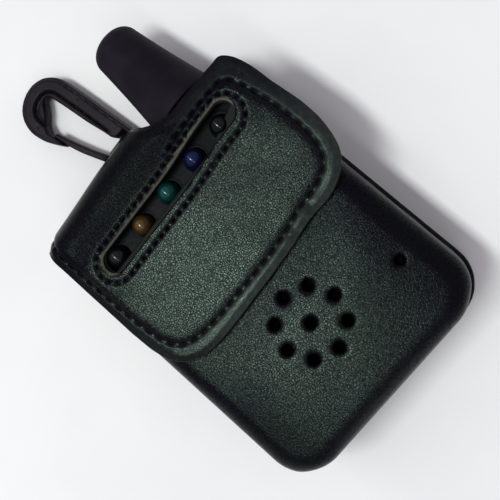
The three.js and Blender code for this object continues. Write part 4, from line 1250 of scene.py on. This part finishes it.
# ---- Setting: white paper, a short bright ceiling panel, a long thin tube and a dim room
def make_floor():
    mesh = bpy.data.meshes.new("paper_floor")
    half = 1.6
    corners = [(-half, -half, 0), (half, -half, 0), (half, half, 0), (-half, half, 0)]
    mesh.from_pydata(corners, [], [[0, 1, 2, 3]])
    floor = add_object("paper_floor", mesh)
    finish = Finish("white_paper", carried=True)
    tone = finish.noise(0.02, 3.0)
    colour = finish.mix(finish.spread(tone, 0.3, 0.7), (0.80, 0.80, 0.815), (0.84, 0.84, 0.845))
    finish.set(Base_Color=colour, Roughness=0.75)
    mesh.materials.append(finish.material)
    just_below = -0.2 * MM
    floor.location = (0, 0, just_below)


LIGHT_COLOUR = (0.955, 1.0, 0.965)
LIGHT_AIM = Vector((0, 0, 0.012))
LIGHT_DISTANCE = 0.95


def facing(place, back, up):
    """The matrix of a light or camera at a place, with its back and its up side in those directions."""
    up = (up - up.dot(back) * back).normalized()
    right = up.cross(back)
    return Matrix.Translation(place) @ Matrix((right, up, back)).transposed().to_4x4()


def ceiling_light(name, towards, size, power):
    """A rectangular light that faces the radio, with its long side along Y."""
    light = bpy.data.lights.new(name, "AREA")
    light.shape = "RECTANGLE"
    light.size, light.size_y = size
    light.energy = power
    light.color = LIGHT_COLOUR
    back = Vector(towards).normalized()
    add_object(name, light).matrix_world = facing(LIGHT_AIM + back * LIGHT_DISTANCE, back, Vector((0, 1, 0)))


def make_lights():
    ceiling_light("ceiling_panel", (-0.25, 0.15, 0.96), size=(0.12, 0.36), power=4.6)
    ceiling_light("ceiling_tube", (-0.26, 0.08, 0.96), size=(0.11, 2.2), power=3.4)
    world = bpy.data.worlds.new("dim_room")
    bpy.context.scene.world = world
    world.use_nodes = True
    backdrop = world.node_tree.nodes["Background"]
    backdrop.inputs["Color"].default_value = (0.985, 0.935, 1.0, 1)
    backdrop.inputs["Strength"].default_value = 0.44
    bpy.context.scene.view_settings.view_transform = "Standard"


def make_camera():
    """Above the radio's lower right, turned so that the radio's top edge points to the upper left."""
    place = Vector((39.1, -26.7, 202.6)) * MM
    target = Vector((0.97, 4.01, 12.5)) * MM
    turn = math.radians(50.4)
    sensor = 36.0
    field = math.radians(34.7)
    data = bpy.data.cameras.new("camera")
    data.sensor_width = sensor
    data.lens = sensor / 2 / math.tan(field / 2)
    data.clip_start = 0.01
    up = Vector((math.sin(turn), math.cos(turn), 0))
    camera = add_object("camera", data)
    camera.matrix_world = facing(place, (place - target).normalized(), up)
    bpy.context.scene.camera = camera


def main():
    make_camera()
    make_lights()
    make_floor()
    make_pouch()
    make_back_panel()
    make_cover()
    make_lining()
    make_thread("flap_edge_thread", EDGE_STITCHES, EDGE_STITCH_SIZE)
    make_thread("flap_slot_thread", SLOT_STITCHES, SLOT_STITCH_SIZE)
    for node, (rim, lit_heart) in LAMP_TINTS_AND_LIT_HEARTS.items():
        make_lamp(node, lens_finish(f"{node}_epoxy", rim, lit_heart, lamp_centre(node)[0]))
    make_lamp_panel()
    make_hook()
    make_gate()
    make_tab()
    make_antenna()
    dress_carried_nodes()


main()
bpy.context.view_layer.update()
